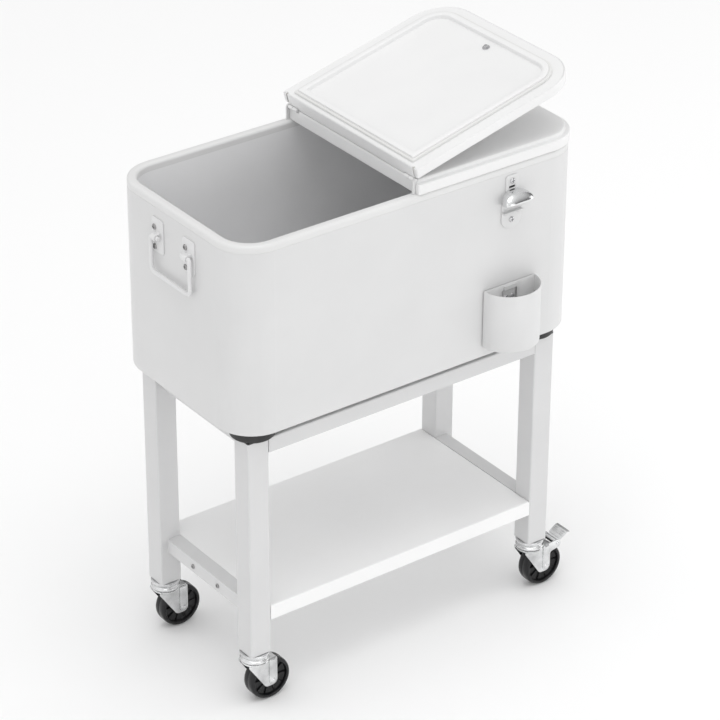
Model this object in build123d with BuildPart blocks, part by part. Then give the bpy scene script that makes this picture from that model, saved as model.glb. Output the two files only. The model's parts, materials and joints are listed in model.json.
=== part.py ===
from build123d import *
from math import asin, atan2, cos, degrees, hypot, radians, sin
import os

# Rolling patio cooler: an insulated tub with two flip lids on a four-legged cart with
# swivel casters. Millimetres, +Z up, front face towards -Y. The origin lies on the
# floor, under the centre of the box that holds the whole cooler as it stands.

# Tub
tub_length = 750.0
tub_width = 394.0
tub_height = 370.0
tub_corner_radius = 72.0
shell_thickness = 1.2
shell_edge_radius = 4.0
shell_bottom_flange = 14.0
insulation_thickness = 15.0
liner_thickness = 2.2
liner_floor_radius = 16.0
rim_height = 14.0
rim_edge_radius = 5.5
base_thickness = 1.5

# Feet under the tub and the sockets that hold their pegs
foot_diameter = 82.0
foot_height = 22.0
foot_edge_radius = 3.0
foot_inset = 8.0
peg_diameter = 24.0
peg_length = 20.0
peg_chamfer = 3.0
peg_clearance = 0.5
socket_flange = 2.5
socket_depth = 34.0

# Cart
cart_end_inset = 32.0
cart_side_inset = 28.0
leg_size = 44.0
leg_wall = 1.8
leg_corner_radius = 3.0
leg_length = 448.5
rail_width = 28.0
rail_height = 28.0
rail_wall = 1.6
sheet_thickness = 1.5
sheet_bend_radius = 2.5
panel_lip = 29.5
shelf_rise = 97.0
frame_screw_spacing = 80.0
frame_screw_shank = 4.0
frame_screw_head = 9.0
frame_screw_head_height = 2.6
screw_tip = 4.0

# Casters
wheel_diameter = 85.0
wheel_top_gap = 2.3
wheel_width = 29.0
wheel_edge_radius = 4.0
wheel_recess = 7.0
wheel_rim_depth = 8.0
hub_diameter = 22.0
wheel_rib_count = 10
wheel_rib_width = 2.4
wheel_rib_drop = 3.0
caster_trail = 26.0
axle_diameter = 8.0
axle_head_diameter = 13.0
axle_head_height = 2.2
running_clearance = 0.05
wheel_side_gap = 1.5
fork_plate = 2.5
fork_boss_radius = 11.0
fork_crown_height = 4.0
fork_crown_half = 23.0
fork_heel = 36.0
fork_rib_width = 15.0
fork_rib_height = 1.6
cup_diameter = 55.0
cup_waist = 3.0
cup_height = 17.5
cup_seat_gap = 1.2
stem_diameter = 11.0
stem_head_diameter = 18.0
stem_head_height = 5.0
stem_flange_diameter = 30.0
plug_height = 30.0
brake_arm_reach = 55.0
brake_arm_drop = 4.3
brake_arm_radius = 8.0
pedal_pin_diameter = 6.0
pedal_hub_diameter = 11.0
pedal_width = 36.0
pedal_length = 28.0
pedal_lean = 34.0
pedal_thickness = 2.5
pedal_toe = 6.0
pedal_side_gap = 0.6
shoe_reach = 7.0
shoe_tip_diameter = 5.0
shoe_width = 20.0
shoe_lean = 26.0

# Lids and their common hinge
lid_overhang = 2.0
lid_middle_gap = 2.0
lid_seat_gap = 0.3
skirt_height = 19.0
plateau_rise = 6.7
plateau_inset = 9.0
plateau_edge_radius = 3.5
lid_skin = 1.5
lid_edge_radius = 3.0
lid_hinge_corner = 3.0
lid_panel = 2.2
lid_lip_depth = 8.0
lid_lip_width = 12.0
lid_lip_inset = 28.0
lid_lip_hinge_inset = 15.0
lid_lip_radius = 2.0
gasket_width = 5.6
gasket_height = 5.0
hinge_pin_diameter = 4.0
hinge_pin_head = 7.0
hinge_pin_head_length = 1.2
knuckle_diameter = 8.0
knuckle_length = 12.0
knuckle_gap = 1.0
knuckle_relief = 1.2
hinge_bracket_width = 11.0
hinge_bracket_thickness = 3.0
hinge_bracket_tang = 10.0
hinge_slot_gap = 0.5

# Chrome pull on each lid
pull_inset = 68.0
pull_width = 42.0
pull_height = 38.0
pull_sheet = 1.6
pull_tab_width = 20.0
pull_tab_length = 17.0
pull_tab_thickness = 2.0
pull_screw_offset = 9.0
lid_screw_shank = 5.0
lid_screw_head = 10.0
lid_screw_head_height = 2.4
washer_diameter = 14.0
washer_thickness = 1.2
nut_width = 8.0
nut_height = 4.0

# Bail handles on the tub's ends
bail_wire = 8.0
bail_arm_back = 59.0
bail_arm_front = 61.0
bail_drop = 69.0
bail_bend_radius = 11.0
bail_top_radius = 5.0
bail_end = 24.0
bail_standoff = 9.0
bail_pivot_drop = 65.0
bail_clearance = 0.08
bracket_width = 36.0
bracket_height = 66.0
bracket_thickness = 2.0
bracket_corner_radius = 6.0
bracket_spacing = 96.0
bracket_screw_offset = 9.0
bracket_screw_spacing = 38.0
bracket_screw_drop = 5.0
bridge_wall = 2.2
bridge_length = 14.0
bridge_offset = 1.0

# Screws with cross recesses in the tub's wall
wall_screw_shank = 4.0
wall_screw_head = 9.0
wall_screw_head_height = 2.2
wall_screw_length = 12.0
recess_width = 1.6
recess_length = 5.0
recess_depth = 1.3
head_round_share = 0.45
hole_clearance = 0.2

# Bottle opener on the front
fittings_inset = 167.0
opener_screw_drop = 30.0
opener_screw_gap = 76.0
opener_thickness = 2.4
opener_tab_width = 28.0
opener_tab_margin = 11.0
opener_plate_width = 44.0
opener_foot_margin = 17.0
opener_corner = 6.0
opener_round_share = 0.42
opener_slot_width = 14.0
opener_slot_height = 4.0
hood_width = 62.0
hood_height = 35.6
hood_collar = 12.0
hood_depth = 18.0
hood_sheet = 1.8
hood_drop = 63.0
hood_mouth_drop = 10.0
hood_mouth_tilt = 18.8
ledge_drop = 89.0
ledge_reach = 7.0
ledge_thickness = 3.0

# Cap catcher and its hook
catcher_width = 117.0
catcher_depth = 56.0
catcher_height = 115.0
catcher_floor = 21.5
catcher_sheet = 1.5
catcher_edge_radius = 3.0
catcher_strip = 11.0
window_width = 34.0
window_height = 44.0
hook_width = 28.0
hook_sheet = 2.0
hook_leaf = 30.0
hook_lip = 8.0
hook_screw_drop = 17.0
hook_screw_spacing = 14.0
catcher_gap = 0.3

# Drain in the back wall
drain_inset = 125.0
drain_height = 36.0
drain_bore = 15.0
drain_tube_wall = 2.5
drain_flange_diameter = 34.0
drain_flange_thickness = 3.0
plug_head_diameter = 26.0
plug_head_thickness = 5.0
plug_grip_width = 6.0
plug_grip_reach = 10.0
plug_length = 18.0
plug_chamfer = 1.0

seat_gap = 0.3
cut_overrun = 2.0

# Plan sizes that follow the tub's
cart_length = tub_length - 2 * cart_end_inset
cart_width = tub_width - 2 * cart_side_inset
fittings_x = tub_length / 2 - fittings_inset
drain_x = tub_length / 2 - drain_inset
pull_place = tub_length / 2 + lid_overhang - pull_inset

# Levels above the floor
crown_bottom = wheel_diameter + wheel_top_gap
crown_top = crown_bottom + fork_crown_height
caster_height = crown_top + cup_seat_gap + cup_height
brake_arm_height = crown_bottom - brake_arm_drop
leg_top = caster_height + leg_length
socket_top = leg_top + socket_flange
tub_bottom = socket_top + foot_height
tub_top = tub_bottom + tub_height
shelf_top = caster_height + shelf_rise
wall_top = tub_top - rim_height
lid_bottom = tub_top + lid_seat_gap
hinge_height = lid_bottom + skirt_height + plateau_rise
wheel_radius = wheel_diameter / 2
wall_thickness = shell_thickness + insulation_thickness + liner_thickness
liner_bottom = tub_bottom + base_thickness + insulation_thickness

hinge_y = tub_width / 2 - wall_thickness / 2
drain_hole_radius = drain_bore / 2 + drain_tube_wall + hole_clearance
drain_tube_length = wall_thickness + cut_overrun
drain_hole_depth = wall_thickness + liner_floor_radius

# The open lid leans on the closed one, pull on pull
pull_radius = pull_width / 2
pull_collar = pull_height - pull_radius
pull_distance = hypot(pull_place, pull_collar)
lid_lean = 2 * degrees(asin((pull_radius + seat_gap / 2) / pull_distance) + atan2(pull_collar, pull_place))
lid_open_angle = 180 - lid_lean

# Reaches from the middle of the tub, which place the origin under the whole
leg_x = (cart_length - leg_size) / 2
leg_y = (cart_width - leg_size) / 2
reach_right = leg_x + brake_arm_reach + pedal_length * cos(radians(pedal_lean)) + pedal_toe
reach_left = tub_length / 2 + bail_standoff + bail_wire / 2 + bail_clearance + bridge_wall
reach_front = tub_width / 2 + hook_sheet + catcher_gap + catcher_depth
reach_back = tub_width / 2 + drain_flange_thickness + plug_head_thickness + plug_grip_reach
middle_x = (reach_left - reach_right) / 2
middle_y = (reach_front - reach_back) / 2

sides = {"left": -1, "right": 1}
corners = {
    "front_left": (-1, -1),
    "front_right": (1, -1),
    "back_left": (-1, 1),
    "back_right": (1, 1),
}


def level(height, x=0, y=0):
    """Horizontal plane at a height above the floor, centred under the tub."""
    return Plane(origin=(middle_x + x, middle_y + y, height))


def facing_front(x, height, out=0):
    """Plane on the tub's front face: local x to the right, local y up."""
    place = (middle_x + x, middle_y - tub_width / 2 - out, height)
    return Plane(origin=place, x_dir=(1, 0, 0), z_dir=(0, -1, 0))


def facing_back(x, height, out=0):
    """Plane on the tub's back face: local x towards -X, local y up."""
    place = (middle_x + x, middle_y + tub_width / 2 + out, height)
    return Plane(origin=place, x_dir=(-1, 0, 0), z_dir=(0, 1, 0))


def facing_end(side, height, out=0):
    """Plane on the tub's left or right face, seen from outside, local y up."""
    place = (middle_x + side * (tub_length / 2 + out), middle_y, height)
    return Plane(origin=place, x_dir=(0, side, 0), z_dir=(side, 0, 0))


def write(piece, label):
    piece.part.label = label
    export_step(piece.part, f"parts/{label}.step")


def tub_outline(inset):
    """The tub's plan, drawn in by an inset, into the sketch that is open."""
    RectangleRounded(tub_length - 2 * inset, tub_width - 2 * inset, tub_corner_radius - inset)


def screw(head, head_height, shank, length, tip):
    """A pan-head screw along +Z with a cross recess, its head's seat at zero."""
    with BuildPart() as piece:
        with BuildSketch(Plane.XZ):
            with BuildLine():
                Polyline(
                    (0, -length),
                    (shank / 2, tip - length),
                    (shank / 2, 0),
                    (head / 2, 0),
                    (head / 2, head_height),
                    (0, head_height),
                    close=True,
                )
            make_face()
        revolve(axis=Axis.Z)
        fillet(piece.edges().group_by(Axis.Z)[-1], head_height * head_round_share)
        with BuildSketch(Plane.XY.offset(head_height)):
            Rectangle(recess_length, recess_width)
            Rectangle(recess_width, recess_length)
        extrude(amount=-recess_depth, mode=Mode.SUBTRACT)
    return piece.part


os.makedirs("parts", exist_ok=True)


# Cart legs, rails, panel and shelf

for corner, (side, depth) in corners.items():
    with BuildPart() as leg:
        with BuildSketch(level(caster_height, side * leg_x, depth * leg_y)):
            RectangleRounded(leg_size, leg_size, leg_corner_radius)
            inner = leg_size - 2 * leg_wall
            RectangleRounded(inner, inner, leg_corner_radius - leg_wall, mode=Mode.SUBTRACT)
        extrude(amount=leg_length)
    write(leg, f"leg_{corner}")

leg_places = [(side * leg_x, depth * leg_y) for side, depth in corners.values()]
socket_size = leg_size - 2 * leg_wall - 2 * seat_gap
with BuildPart() as leg_sockets:
    with BuildSketch(level(leg_top)):
        with Locations(*leg_places):
            RectangleRounded(leg_size, leg_size, leg_corner_radius)
    extrude(amount=socket_flange)
    with BuildSketch(level(leg_top)):
        with Locations(*leg_places):
            RectangleRounded(socket_size, socket_size, leg_corner_radius - leg_wall)
    extrude(amount=-socket_depth)
    with Locations(level(socket_top)):
        with Locations(*leg_places):
            Hole(peg_diameter / 2 + peg_clearance, depth=socket_flange + peg_length)
write(leg_sockets, "leg_sockets")

rail_x = cart_length / 2 - leg_size + rail_width / 2
rail_outer_x = rail_x + rail_width / 2
rail_length = cart_width - 2 * leg_size
screw_drop = panel_lip / 2
frame_screw_length = rail_width + sheet_thickness + 2 * screw_tip


def end_rail(side, top, name):
    """A rectangular tube between the two legs of one end, drilled for two screws."""
    with BuildPart() as rail:
        place = (middle_x + side * rail_x, middle_y - rail_length / 2, top - rail_height / 2)
        with BuildSketch(Plane(origin=place, x_dir=(1, 0, 0), z_dir=(0, 1, 0))):
            Rectangle(rail_width, rail_height)
            Rectangle(rail_width - 2 * rail_wall, rail_height - 2 * rail_wall, mode=Mode.SUBTRACT)
        extrude(amount=rail_length)
        drill = (middle_x + side * rail_outer_x, middle_y, top - screw_drop)
        with Locations(Plane(origin=drill, x_dir=(0, side, 0), z_dir=(side, 0, 0))):
            with GridLocations(frame_screw_spacing, 0, 2, 1):
                Hole(frame_screw_shank / 2 + hole_clearance, depth=rail_width)
    write(rail, name)


def folded_panel(top, name):
    """A sheet between the end rails, with a lip folded down on all four sides."""
    length = cart_length - 2 * leg_size - 2 * seat_gap
    with BuildPart() as panel:
        with BuildSketch(level(top - panel_lip)):
            Rectangle(length, cart_width)
        extrude(amount=panel_lip)
        upper = panel.faces().sort_by(Axis.Z)[-1]
        fillet(upper.edges(), sheet_bend_radius)
        with BuildSketch(level(top - panel_lip)):
            Rectangle(length - 2 * sheet_thickness, cart_width - 2 * sheet_thickness)
        extrude(amount=panel_lip - sheet_thickness, mode=Mode.SUBTRACT)
        for side in sides.values():
            drill = (middle_x + side * length / 2, middle_y, top - screw_drop)
            with Locations(Plane(origin=drill, x_dir=(0, side, 0), z_dir=(side, 0, 0))):
                with GridLocations(frame_screw_spacing, 0, 2, 1):
                    Hole(frame_screw_shank / 2 + hole_clearance, depth=sheet_thickness * 2)
    write(panel, name)


for side_name, side in sides.items():
    end_rail(side, leg_top, f"upper_rail_{side_name}")
    end_rail(side, shelf_top, f"lower_rail_{side_name}")
folded_panel(leg_top, "upper_panel")
folded_panel(shelf_top, "lower_shelf")

frame_screw = screw(
    frame_screw_head,
    frame_screw_head_height,
    frame_screw_shank,
    frame_screw_length,
    screw_tip,
)
with BuildPart() as frame_screws:
    for side in sides.values():
        for top in (leg_top, shelf_top):
            place = (middle_x + side * rail_outer_x, middle_y, top - screw_drop)
            with Locations(Plane(origin=place, x_dir=(0, side, 0), z_dir=(side, 0, 0))):
                with GridLocations(frame_screw_spacing, 0, 2, 1):
                    add(frame_screw)
write(frame_screws, "frame_screws")


# Where screws enter the tub's wall
opener_screws_at = facing_front(fittings_x, tub_top - opener_screw_drop - opener_screw_gap)
opener_screw_spots = [(0, 0), (0, opener_screw_gap)]
catcher_top = tub_bottom + catcher_floor + catcher_height
tongue_top = catcher_top - catcher_strip - seat_gap
hook_screws_at = facing_front(fittings_x, tongue_top - hook_screw_drop)
hook_screw_spots = [(-hook_screw_spacing / 2, 0), (hook_screw_spacing / 2, 0)]
bail_level = tub_top - bail_pivot_drop
bracket_places = [(-bracket_spacing / 2, 0), (bracket_spacing / 2, 0)]
screw_rows = [
    (-bracket_screw_offset, -bracket_screw_drop - bracket_screw_spacing / 2),
    (-bracket_screw_offset, -bracket_screw_drop + bracket_screw_spacing / 2),
]
handle_screw_spots = [(x + row_x, row_y) for x, _ in bracket_places for row_x, row_y in screw_rows]

with BuildPart() as wall_holes:
    hole_radius = wall_screw_shank / 2 + hole_clearance
    with Locations(opener_screws_at):
        with Locations(*opener_screw_spots):
            Cylinder(hole_radius, 2 * wall_screw_length)
    with Locations(hook_screws_at):
        with Locations(*hook_screw_spots):
            Cylinder(hole_radius, 2 * wall_screw_length)
    for side in sides.values():
        with Locations(facing_end(side, bail_level)):
            with Locations(*handle_screw_spots):
                Cylinder(hole_radius, 2 * wall_screw_length)
    with Locations(facing_back(drain_x, tub_bottom + drain_height)):
        Cylinder(drain_hole_radius, 2 * drain_hole_depth)


# Tub: steel skin, insulation, liner, rim, base and feet

with BuildPart() as tub_shell:
    with BuildSketch(level(tub_bottom)):
        tub_outline(0)
    extrude(amount=wall_top - tub_bottom)
    fillet(tub_shell.faces().sort_by(Axis.Z)[0].edges(), shell_edge_radius)
    offset(amount=-shell_thickness, openings=tub_shell.faces().sort_by(Axis.Z)[-1])
    with BuildSketch(level(tub_bottom)):
        tub_outline(shell_bottom_flange)
    extrude(amount=shell_edge_radius, mode=Mode.SUBTRACT)
    add(wall_holes.part, mode=Mode.SUBTRACT)
write(tub_shell, "tub_shell")

with BuildPart() as liner_block:
    with BuildSketch(level(liner_bottom)):
        tub_outline(shell_thickness + insulation_thickness)
    extrude(amount=wall_top - liner_bottom)
    fillet(liner_block.faces().sort_by(Axis.Z)[0].edges(), liner_floor_radius + liner_thickness)

with BuildPart() as tub_insulation:
    with BuildSketch(level(tub_bottom + base_thickness)):
        tub_outline(shell_thickness)
    extrude(amount=wall_top - tub_bottom - base_thickness)
    fillet(tub_insulation.faces().sort_by(Axis.Z)[0].edges(), shell_edge_radius)
    add(liner_block.part, mode=Mode.SUBTRACT)
    add(wall_holes.part, mode=Mode.SUBTRACT)
write(tub_insulation, "tub_insulation")

with BuildPart() as tub_liner:
    add(liner_block.part)
    offset(amount=-liner_thickness, openings=tub_liner.faces().sort_by(Axis.Z)[-1])
    add(wall_holes.part, mode=Mode.SUBTRACT)
write(tub_liner, "tub_liner")

with BuildPart() as tub_base:
    with BuildSketch(level(tub_bottom)):
        tub_outline(shell_bottom_flange + seat_gap)
    extrude(amount=base_thickness)
write(tub_base, "tub_base")

with BuildPart() as tub_rim:
    with BuildSketch(level(wall_top)):
        tub_outline(0)
        with BuildSketch(mode=Mode.SUBTRACT):
            tub_outline(wall_thickness)
    extrude(amount=rim_height)
    fillet(tub_rim.faces().sort_by(Axis.Z)[-1].edges(), rim_edge_radius)
    with BuildSketch(level(tub_top)):
        with GridLocations(0, 2 * hinge_y, 1, 2):
            Rectangle(hinge_bracket_width + seat_gap, hinge_bracket_thickness + seat_gap)
    extrude(amount=-hinge_bracket_tang, mode=Mode.SUBTRACT)
    # The rim is moulded in two halves that butt under the hinges
    with BuildSketch(level(tub_top)):
        Rectangle(seat_gap, 2 * tub_width)
    extrude(amount=-rim_height, mode=Mode.SUBTRACT)
write(tub_rim, "tub_rim")

foot_places = [
    (side * (leg_x - foot_inset), depth * (leg_y - foot_inset)) for side, depth in corners.values()
]
with BuildPart() as tub_feet:
    with BuildSketch(level(socket_top)):
        with Locations(*foot_places):
            Circle(foot_diameter / 2)
    extrude(amount=foot_height)
    fillet(tub_feet.edges().filter_by(GeomType.CIRCLE), foot_edge_radius)
    with BuildSketch(level(socket_top)):
        with Locations(*leg_places):
            Circle(peg_diameter / 2)
    extrude(amount=-peg_length)
    chamfer(tub_feet.edges().group_by(Axis.Z)[0], peg_chamfer)
write(tub_feet, "tub_feet")

with BuildPart() as drain_spout:
    with BuildSketch(facing_back(drain_x, tub_bottom + drain_height)):
        Circle(drain_flange_diameter / 2)
    extrude(amount=drain_flange_thickness)
    with BuildSketch(facing_back(drain_x, tub_bottom + drain_height)):
        Circle(drain_bore / 2 + drain_tube_wall)
    extrude(amount=-drain_tube_length)
    with Locations(facing_back(drain_x, tub_bottom + drain_height, drain_flange_thickness)):
        Hole(drain_bore / 2, depth=drain_flange_thickness + drain_tube_length)
write(drain_spout, "drain_spout")

plug_seat = facing_back(drain_x, tub_bottom + drain_height, drain_flange_thickness)
with BuildPart() as drain_plug:
    with BuildSketch(plug_seat):
        Circle(plug_head_diameter / 2)
    extrude(amount=plug_head_thickness)
    with BuildSketch(plug_seat):
        Circle(drain_bore / 2 - running_clearance)
    extrude(amount=-plug_length)
    chamfer(drain_plug.edges().filter_by(GeomType.CIRCLE).sort_by(Axis.Y)[0], plug_chamfer)
    with BuildSketch(plug_seat):
        Rectangle(plug_grip_width, plug_head_diameter - plug_grip_width)
    extrude(amount=plug_head_thickness + plug_grip_reach)
write(drain_plug, "drain_plug")


# Casters

plate_inner = wheel_width / 2 + wheel_side_gap
plate_outer = plate_inner + fork_plate
rib_outer = plate_outer + fork_rib_height
rib_rise = crown_top - wheel_radius
stem_bottom = crown_bottom - seat_gap

with BuildPart() as stem:
    with BuildSketch(Plane.XY.offset(caster_height)):
        RectangleRounded(socket_size, socket_size, leg_corner_radius - leg_wall)
    extrude(amount=plug_height)
    with BuildSketch(Plane.XZ):
        with BuildLine():
            Polyline(
                (0, caster_height),
                (stem_flange_diameter / 2, caster_height),
                (stem_flange_diameter / 2, caster_height - cup_waist / 2),
                (cup_diameter / 2, caster_height - cup_waist),
                (cup_diameter / 2, caster_height - 2 * cup_waist),
                (cup_diameter / 2 - cup_waist, caster_height - 3 * cup_waist),
                (cup_diameter / 2 - cup_waist, caster_height - 4 * cup_waist),
                (cup_diameter / 2, caster_height - 5 * cup_waist),
                (cup_diameter / 2, caster_height - cup_height),
                (stem_diameter / 2, caster_height - cup_height),
                (stem_diameter / 2, stem_bottom),
                (stem_head_diameter / 2, stem_bottom),
                (stem_head_diameter / 2, stem_bottom - stem_head_height),
                (0, stem_bottom - stem_head_height),
                close=True,
            )
        make_face()
    revolve(axis=Axis.Z)
with BuildPart() as caster_stems:
    with Locations(level(0)):
        with Locations(*leg_places):
            add(stem.part)
write(caster_stems, "caster_stems")


def caster_plane(corner_x, corner_y):
    """Upright plane through a caster's stem, facing front, its y at floor height."""
    place = (middle_x + corner_x, middle_y + corner_y, 0)
    return Plane(origin=place, x_dir=(1, 0, 0), z_dir=(0, -1, 0))


for corner, (side, depth) in corners.items():
    upright = caster_plane(side * leg_x, depth * leg_y)
    axle_side = caster_plane(side * leg_x + caster_trail, depth * leg_y)
    braked = side > 0
    with BuildPart() as fork:
        with BuildSketch(upright):
            with Locations((caster_trail, wheel_radius)):
                Circle(fork_boss_radius)
            with Locations(((fork_heel - fork_crown_half) / 2, crown_top - fork_crown_height)):
                Rectangle(fork_crown_half + fork_heel, 2 * fork_crown_height)
            make_hull()
            if braked:
                with BuildSketch(mode=Mode.ADD):
                    with Locations((brake_arm_reach, brake_arm_height)):
                        Circle(brake_arm_radius)
                    with Locations((fork_heel / 2, brake_arm_height)):
                        Rectangle(fork_heel / 2, 2 * brake_arm_radius)
                    make_hull()
        extrude(amount=plate_outer, both=True)
        with BuildSketch(upright):
            with Locations((caster_trail, wheel_radius)):
                Circle(fork_rib_width / 2)
            with Locations((caster_trail, wheel_radius + rib_rise / 2)):
                Rectangle(fork_rib_width, rib_rise)
        extrude(amount=rib_outer, both=True)
        with BuildSketch(upright):
            with Locations((caster_trail, crown_bottom / 2)):
                Rectangle(4 * fork_heel, crown_bottom)
            with Locations((caster_trail, crown_bottom)):
                Rectangle(4 * fork_heel, crown_bottom)
        extrude(amount=plate_inner, both=True, mode=Mode.SUBTRACT)
        with BuildSketch(level(crown_bottom, side * leg_x, depth * leg_y)):
            Circle(fork_crown_half)
            with Locations(((fork_heel - fork_crown_half) / 2, 0)):
                Rectangle(fork_crown_half + fork_heel, 2 * plate_outer)
        extrude(amount=fork_crown_height)
        with Locations(level(crown_top, side * leg_x, depth * leg_y)):
            Hole(stem_diameter / 2 + running_clearance, depth=fork_crown_height)
        with BuildSketch(axle_side):
            with Locations((0, wheel_radius)):
                Circle(axle_diameter / 2 + running_clearance)
            if braked:
                with Locations((brake_arm_reach - caster_trail, brake_arm_height)):
                    Circle(pedal_pin_diameter / 2 + running_clearance)
        extrude(amount=2 * rib_outer, both=True, mode=Mode.SUBTRACT)
    write(fork, f"caster_fork_{corner}")

    with BuildPart() as wheel:
        with BuildSketch(axle_side):
            with Locations((0, wheel_radius)):
                Circle(wheel_radius)
        extrude(amount=wheel_width / 2, both=True)
        fillet(wheel.edges().filter_by(GeomType.CIRCLE), wheel_edge_radius)
        for face in (1, -1):
            rib_face = Plane(
                origin=axle_side.origin + axle_side.z_dir * (face * wheel_width / 2),
                x_dir=(1, 0, 0),
                z_dir=(0, -face, 0),
            )
            with BuildSketch(rib_face):
                with Locations((0, face * wheel_radius)):
                    Circle(wheel_radius - wheel_rim_depth)
                    Circle(hub_diameter / 2, mode=Mode.SUBTRACT)
            extrude(amount=-wheel_recess, mode=Mode.SUBTRACT)
            with BuildSketch(rib_face.offset(-wheel_rib_drop)):
                with Locations((0, face * wheel_radius)):
                    with PolarLocations((wheel_radius - wheel_rim_depth) / 2, wheel_rib_count):
                        Rectangle(wheel_radius - wheel_rim_depth, wheel_rib_width)
                    Circle(hub_diameter / 2)
            extrude(amount=wheel_rib_drop - wheel_recess)
        with BuildSketch(axle_side):
            with Locations((0, wheel_radius)):
                Circle(axle_diameter / 2 + running_clearance)
        extrude(amount=wheel_width, both=True, mode=Mode.SUBTRACT)
    write(wheel, f"wheel_{corner}")

    with BuildPart() as axle:
        with BuildSketch(axle_side):
            with Locations((0, wheel_radius)):
                Circle(axle_diameter / 2)
        extrude(amount=rib_outer, both=True)
        for end in (1, -1):
            with BuildSketch(axle_side.offset(end * rib_outer)):
                with Locations((0, wheel_radius)):
                    Circle(axle_head_diameter / 2)
            extrude(amount=end * axle_head_height)
        rims = axle.edges().filter_by(GeomType.CIRCLE)
        fillet(rims.group_by(Axis.Y)[0] + rims.group_by(Axis.Y)[-1], axle_head_height * head_round_share)
    write(axle, f"axle_{corner}")

pedal_half = plate_inner - pedal_side_gap
for depth_name, depth in {"front": -1, "back": 1}.items():
    upright = caster_plane(leg_x + brake_arm_reach, depth * leg_y)
    with BuildPart() as pedal:
        with BuildSketch(upright):
            with BuildLine():
                bend = (
                    pedal_length * cos(radians(pedal_lean)),
                    brake_arm_height + pedal_length * sin(radians(pedal_lean)),
                )
                Polyline((0, brake_arm_height), bend, (bend[0] + pedal_toe, bend[1]))
                offset(amount=pedal_thickness / 2)
            make_face()
        extrude(amount=pedal_width / 2, both=True)
        with BuildSketch(upright):
            with Locations((0, brake_arm_height)):
                Circle(brake_arm_radius + pedal_side_gap)
        extrude(amount=pedal_width, both=True, mode=Mode.SUBTRACT)
        with BuildSketch(upright):
            with Locations((0, brake_arm_height)):
                Circle(pedal_hub_diameter / 2)
                with PolarLocations(shoe_reach, 1, shoe_lean - 90):
                    Circle(shoe_tip_diameter / 2)
            make_hull()
        extrude(amount=shoe_width / 2, both=True)
        with BuildSketch(upright):
            with Locations((0, brake_arm_height)):
                Circle(pedal_hub_diameter / 2)
        extrude(amount=pedal_half, both=True)
        with BuildSketch(upright):
            with Locations((0, brake_arm_height)):
                with PolarLocations(brake_arm_radius / 2 + pedal_side_gap, 1, pedal_lean):
                    Rectangle(brake_arm_radius + 2 * pedal_side_gap, pedal_thickness)
        extrude(amount=pedal_half, both=True)
        with BuildSketch(upright):
            with Locations((0, brake_arm_height)):
                Circle(pedal_pin_diameter / 2)
        extrude(amount=plate_outer + axle_head_height, both=True)
    write(pedal, f"brake_pedal_{depth_name}_right")


# Bottle opener on the front

tab_top = tub_top - opener_screw_drop + opener_tab_margin
plate_foot = tub_top - opener_screw_drop - opener_screw_gap - opener_foot_margin
hood_centre = tub_top - hood_drop
hood_mouth = hood_centre - hood_mouth_drop
with BuildPart() as opener_plate:
    with BuildSketch(facing_front(fittings_x, plate_foot)) as plate_outline:
        plate_rise = hood_mouth - plate_foot
        with Locations((0, plate_rise / 2)):
            Rectangle(opener_plate_width, plate_rise)
        lower = plate_outline.vertices().group_by(Axis.Z)[0]
        fillet(lower, opener_plate_width * opener_round_share)
        with Locations((0, (tab_top - plate_foot) / 2)):
            RectangleRounded(opener_tab_width, tab_top - plate_foot, opener_corner)
        with Locations((0, hood_centre + hood_height / 2 + opener_slot_height - plate_foot)):
            Rectangle(opener_slot_width, opener_slot_height, mode=Mode.SUBTRACT)
    extrude(amount=opener_thickness)
    with BuildSketch(facing_front(fittings_x, tub_top - ledge_drop)):
        Rectangle(opener_plate_width, ledge_thickness)
    extrude(amount=opener_thickness + ledge_reach)
    with Locations(opener_screws_at.offset(opener_thickness)):
        with Locations(*opener_screw_spots):
            Hole(wall_screw_shank / 2 + hole_clearance, depth=opener_thickness)
write(opener_plate, "opener_plate")


def cup(radius, collar, sheet):
    """Half of a round-topped cup along +Z, its wall on the +Y side, open to -Y."""
    with BuildPart() as piece:
        with BuildSketch(Plane.XZ):
            with BuildLine():
                Line((0, 0), (radius, 0))
                Line((radius, 0), (radius, collar))
                RadiusArc((radius, collar), (0, collar + radius), -radius)
                Line((0, collar + radius), (0, 0))
            make_face()
            with BuildLine(mode=Mode.PRIVATE) as hollow:
                Line((0, 0), (radius - sheet, 0))
                Line((radius - sheet, 0), (radius - sheet, collar))
                RadiusArc((radius - sheet, collar), (0, collar + radius - sheet), sheet - radius)
                Line((0, collar + radius - sheet), (0, 0))
            make_face(hollow.edges(), mode=Mode.SUBTRACT)
        revolve(axis=Axis.Z, revolution_arc=180)
    return piece.part


def hood_bulge(sheet):
    """The hood's bulge, drawn in by a sheet: an oval collar closed by half an ellipsoid."""
    half_width = hood_width / 2 - sheet
    half_height = hood_height / 2 - sheet
    with BuildPart() as ball:
        Sphere(1)
        scale(by=(half_width, half_height, hood_depth - sheet))
    with BuildPart() as bulge:
        with Locations((0, 0, hood_collar)):
            add(ball.part)
        with BuildSketch():
            Ellipse(half_width, half_height)
        extrude(amount=hood_collar)
    return bulge.part


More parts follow.
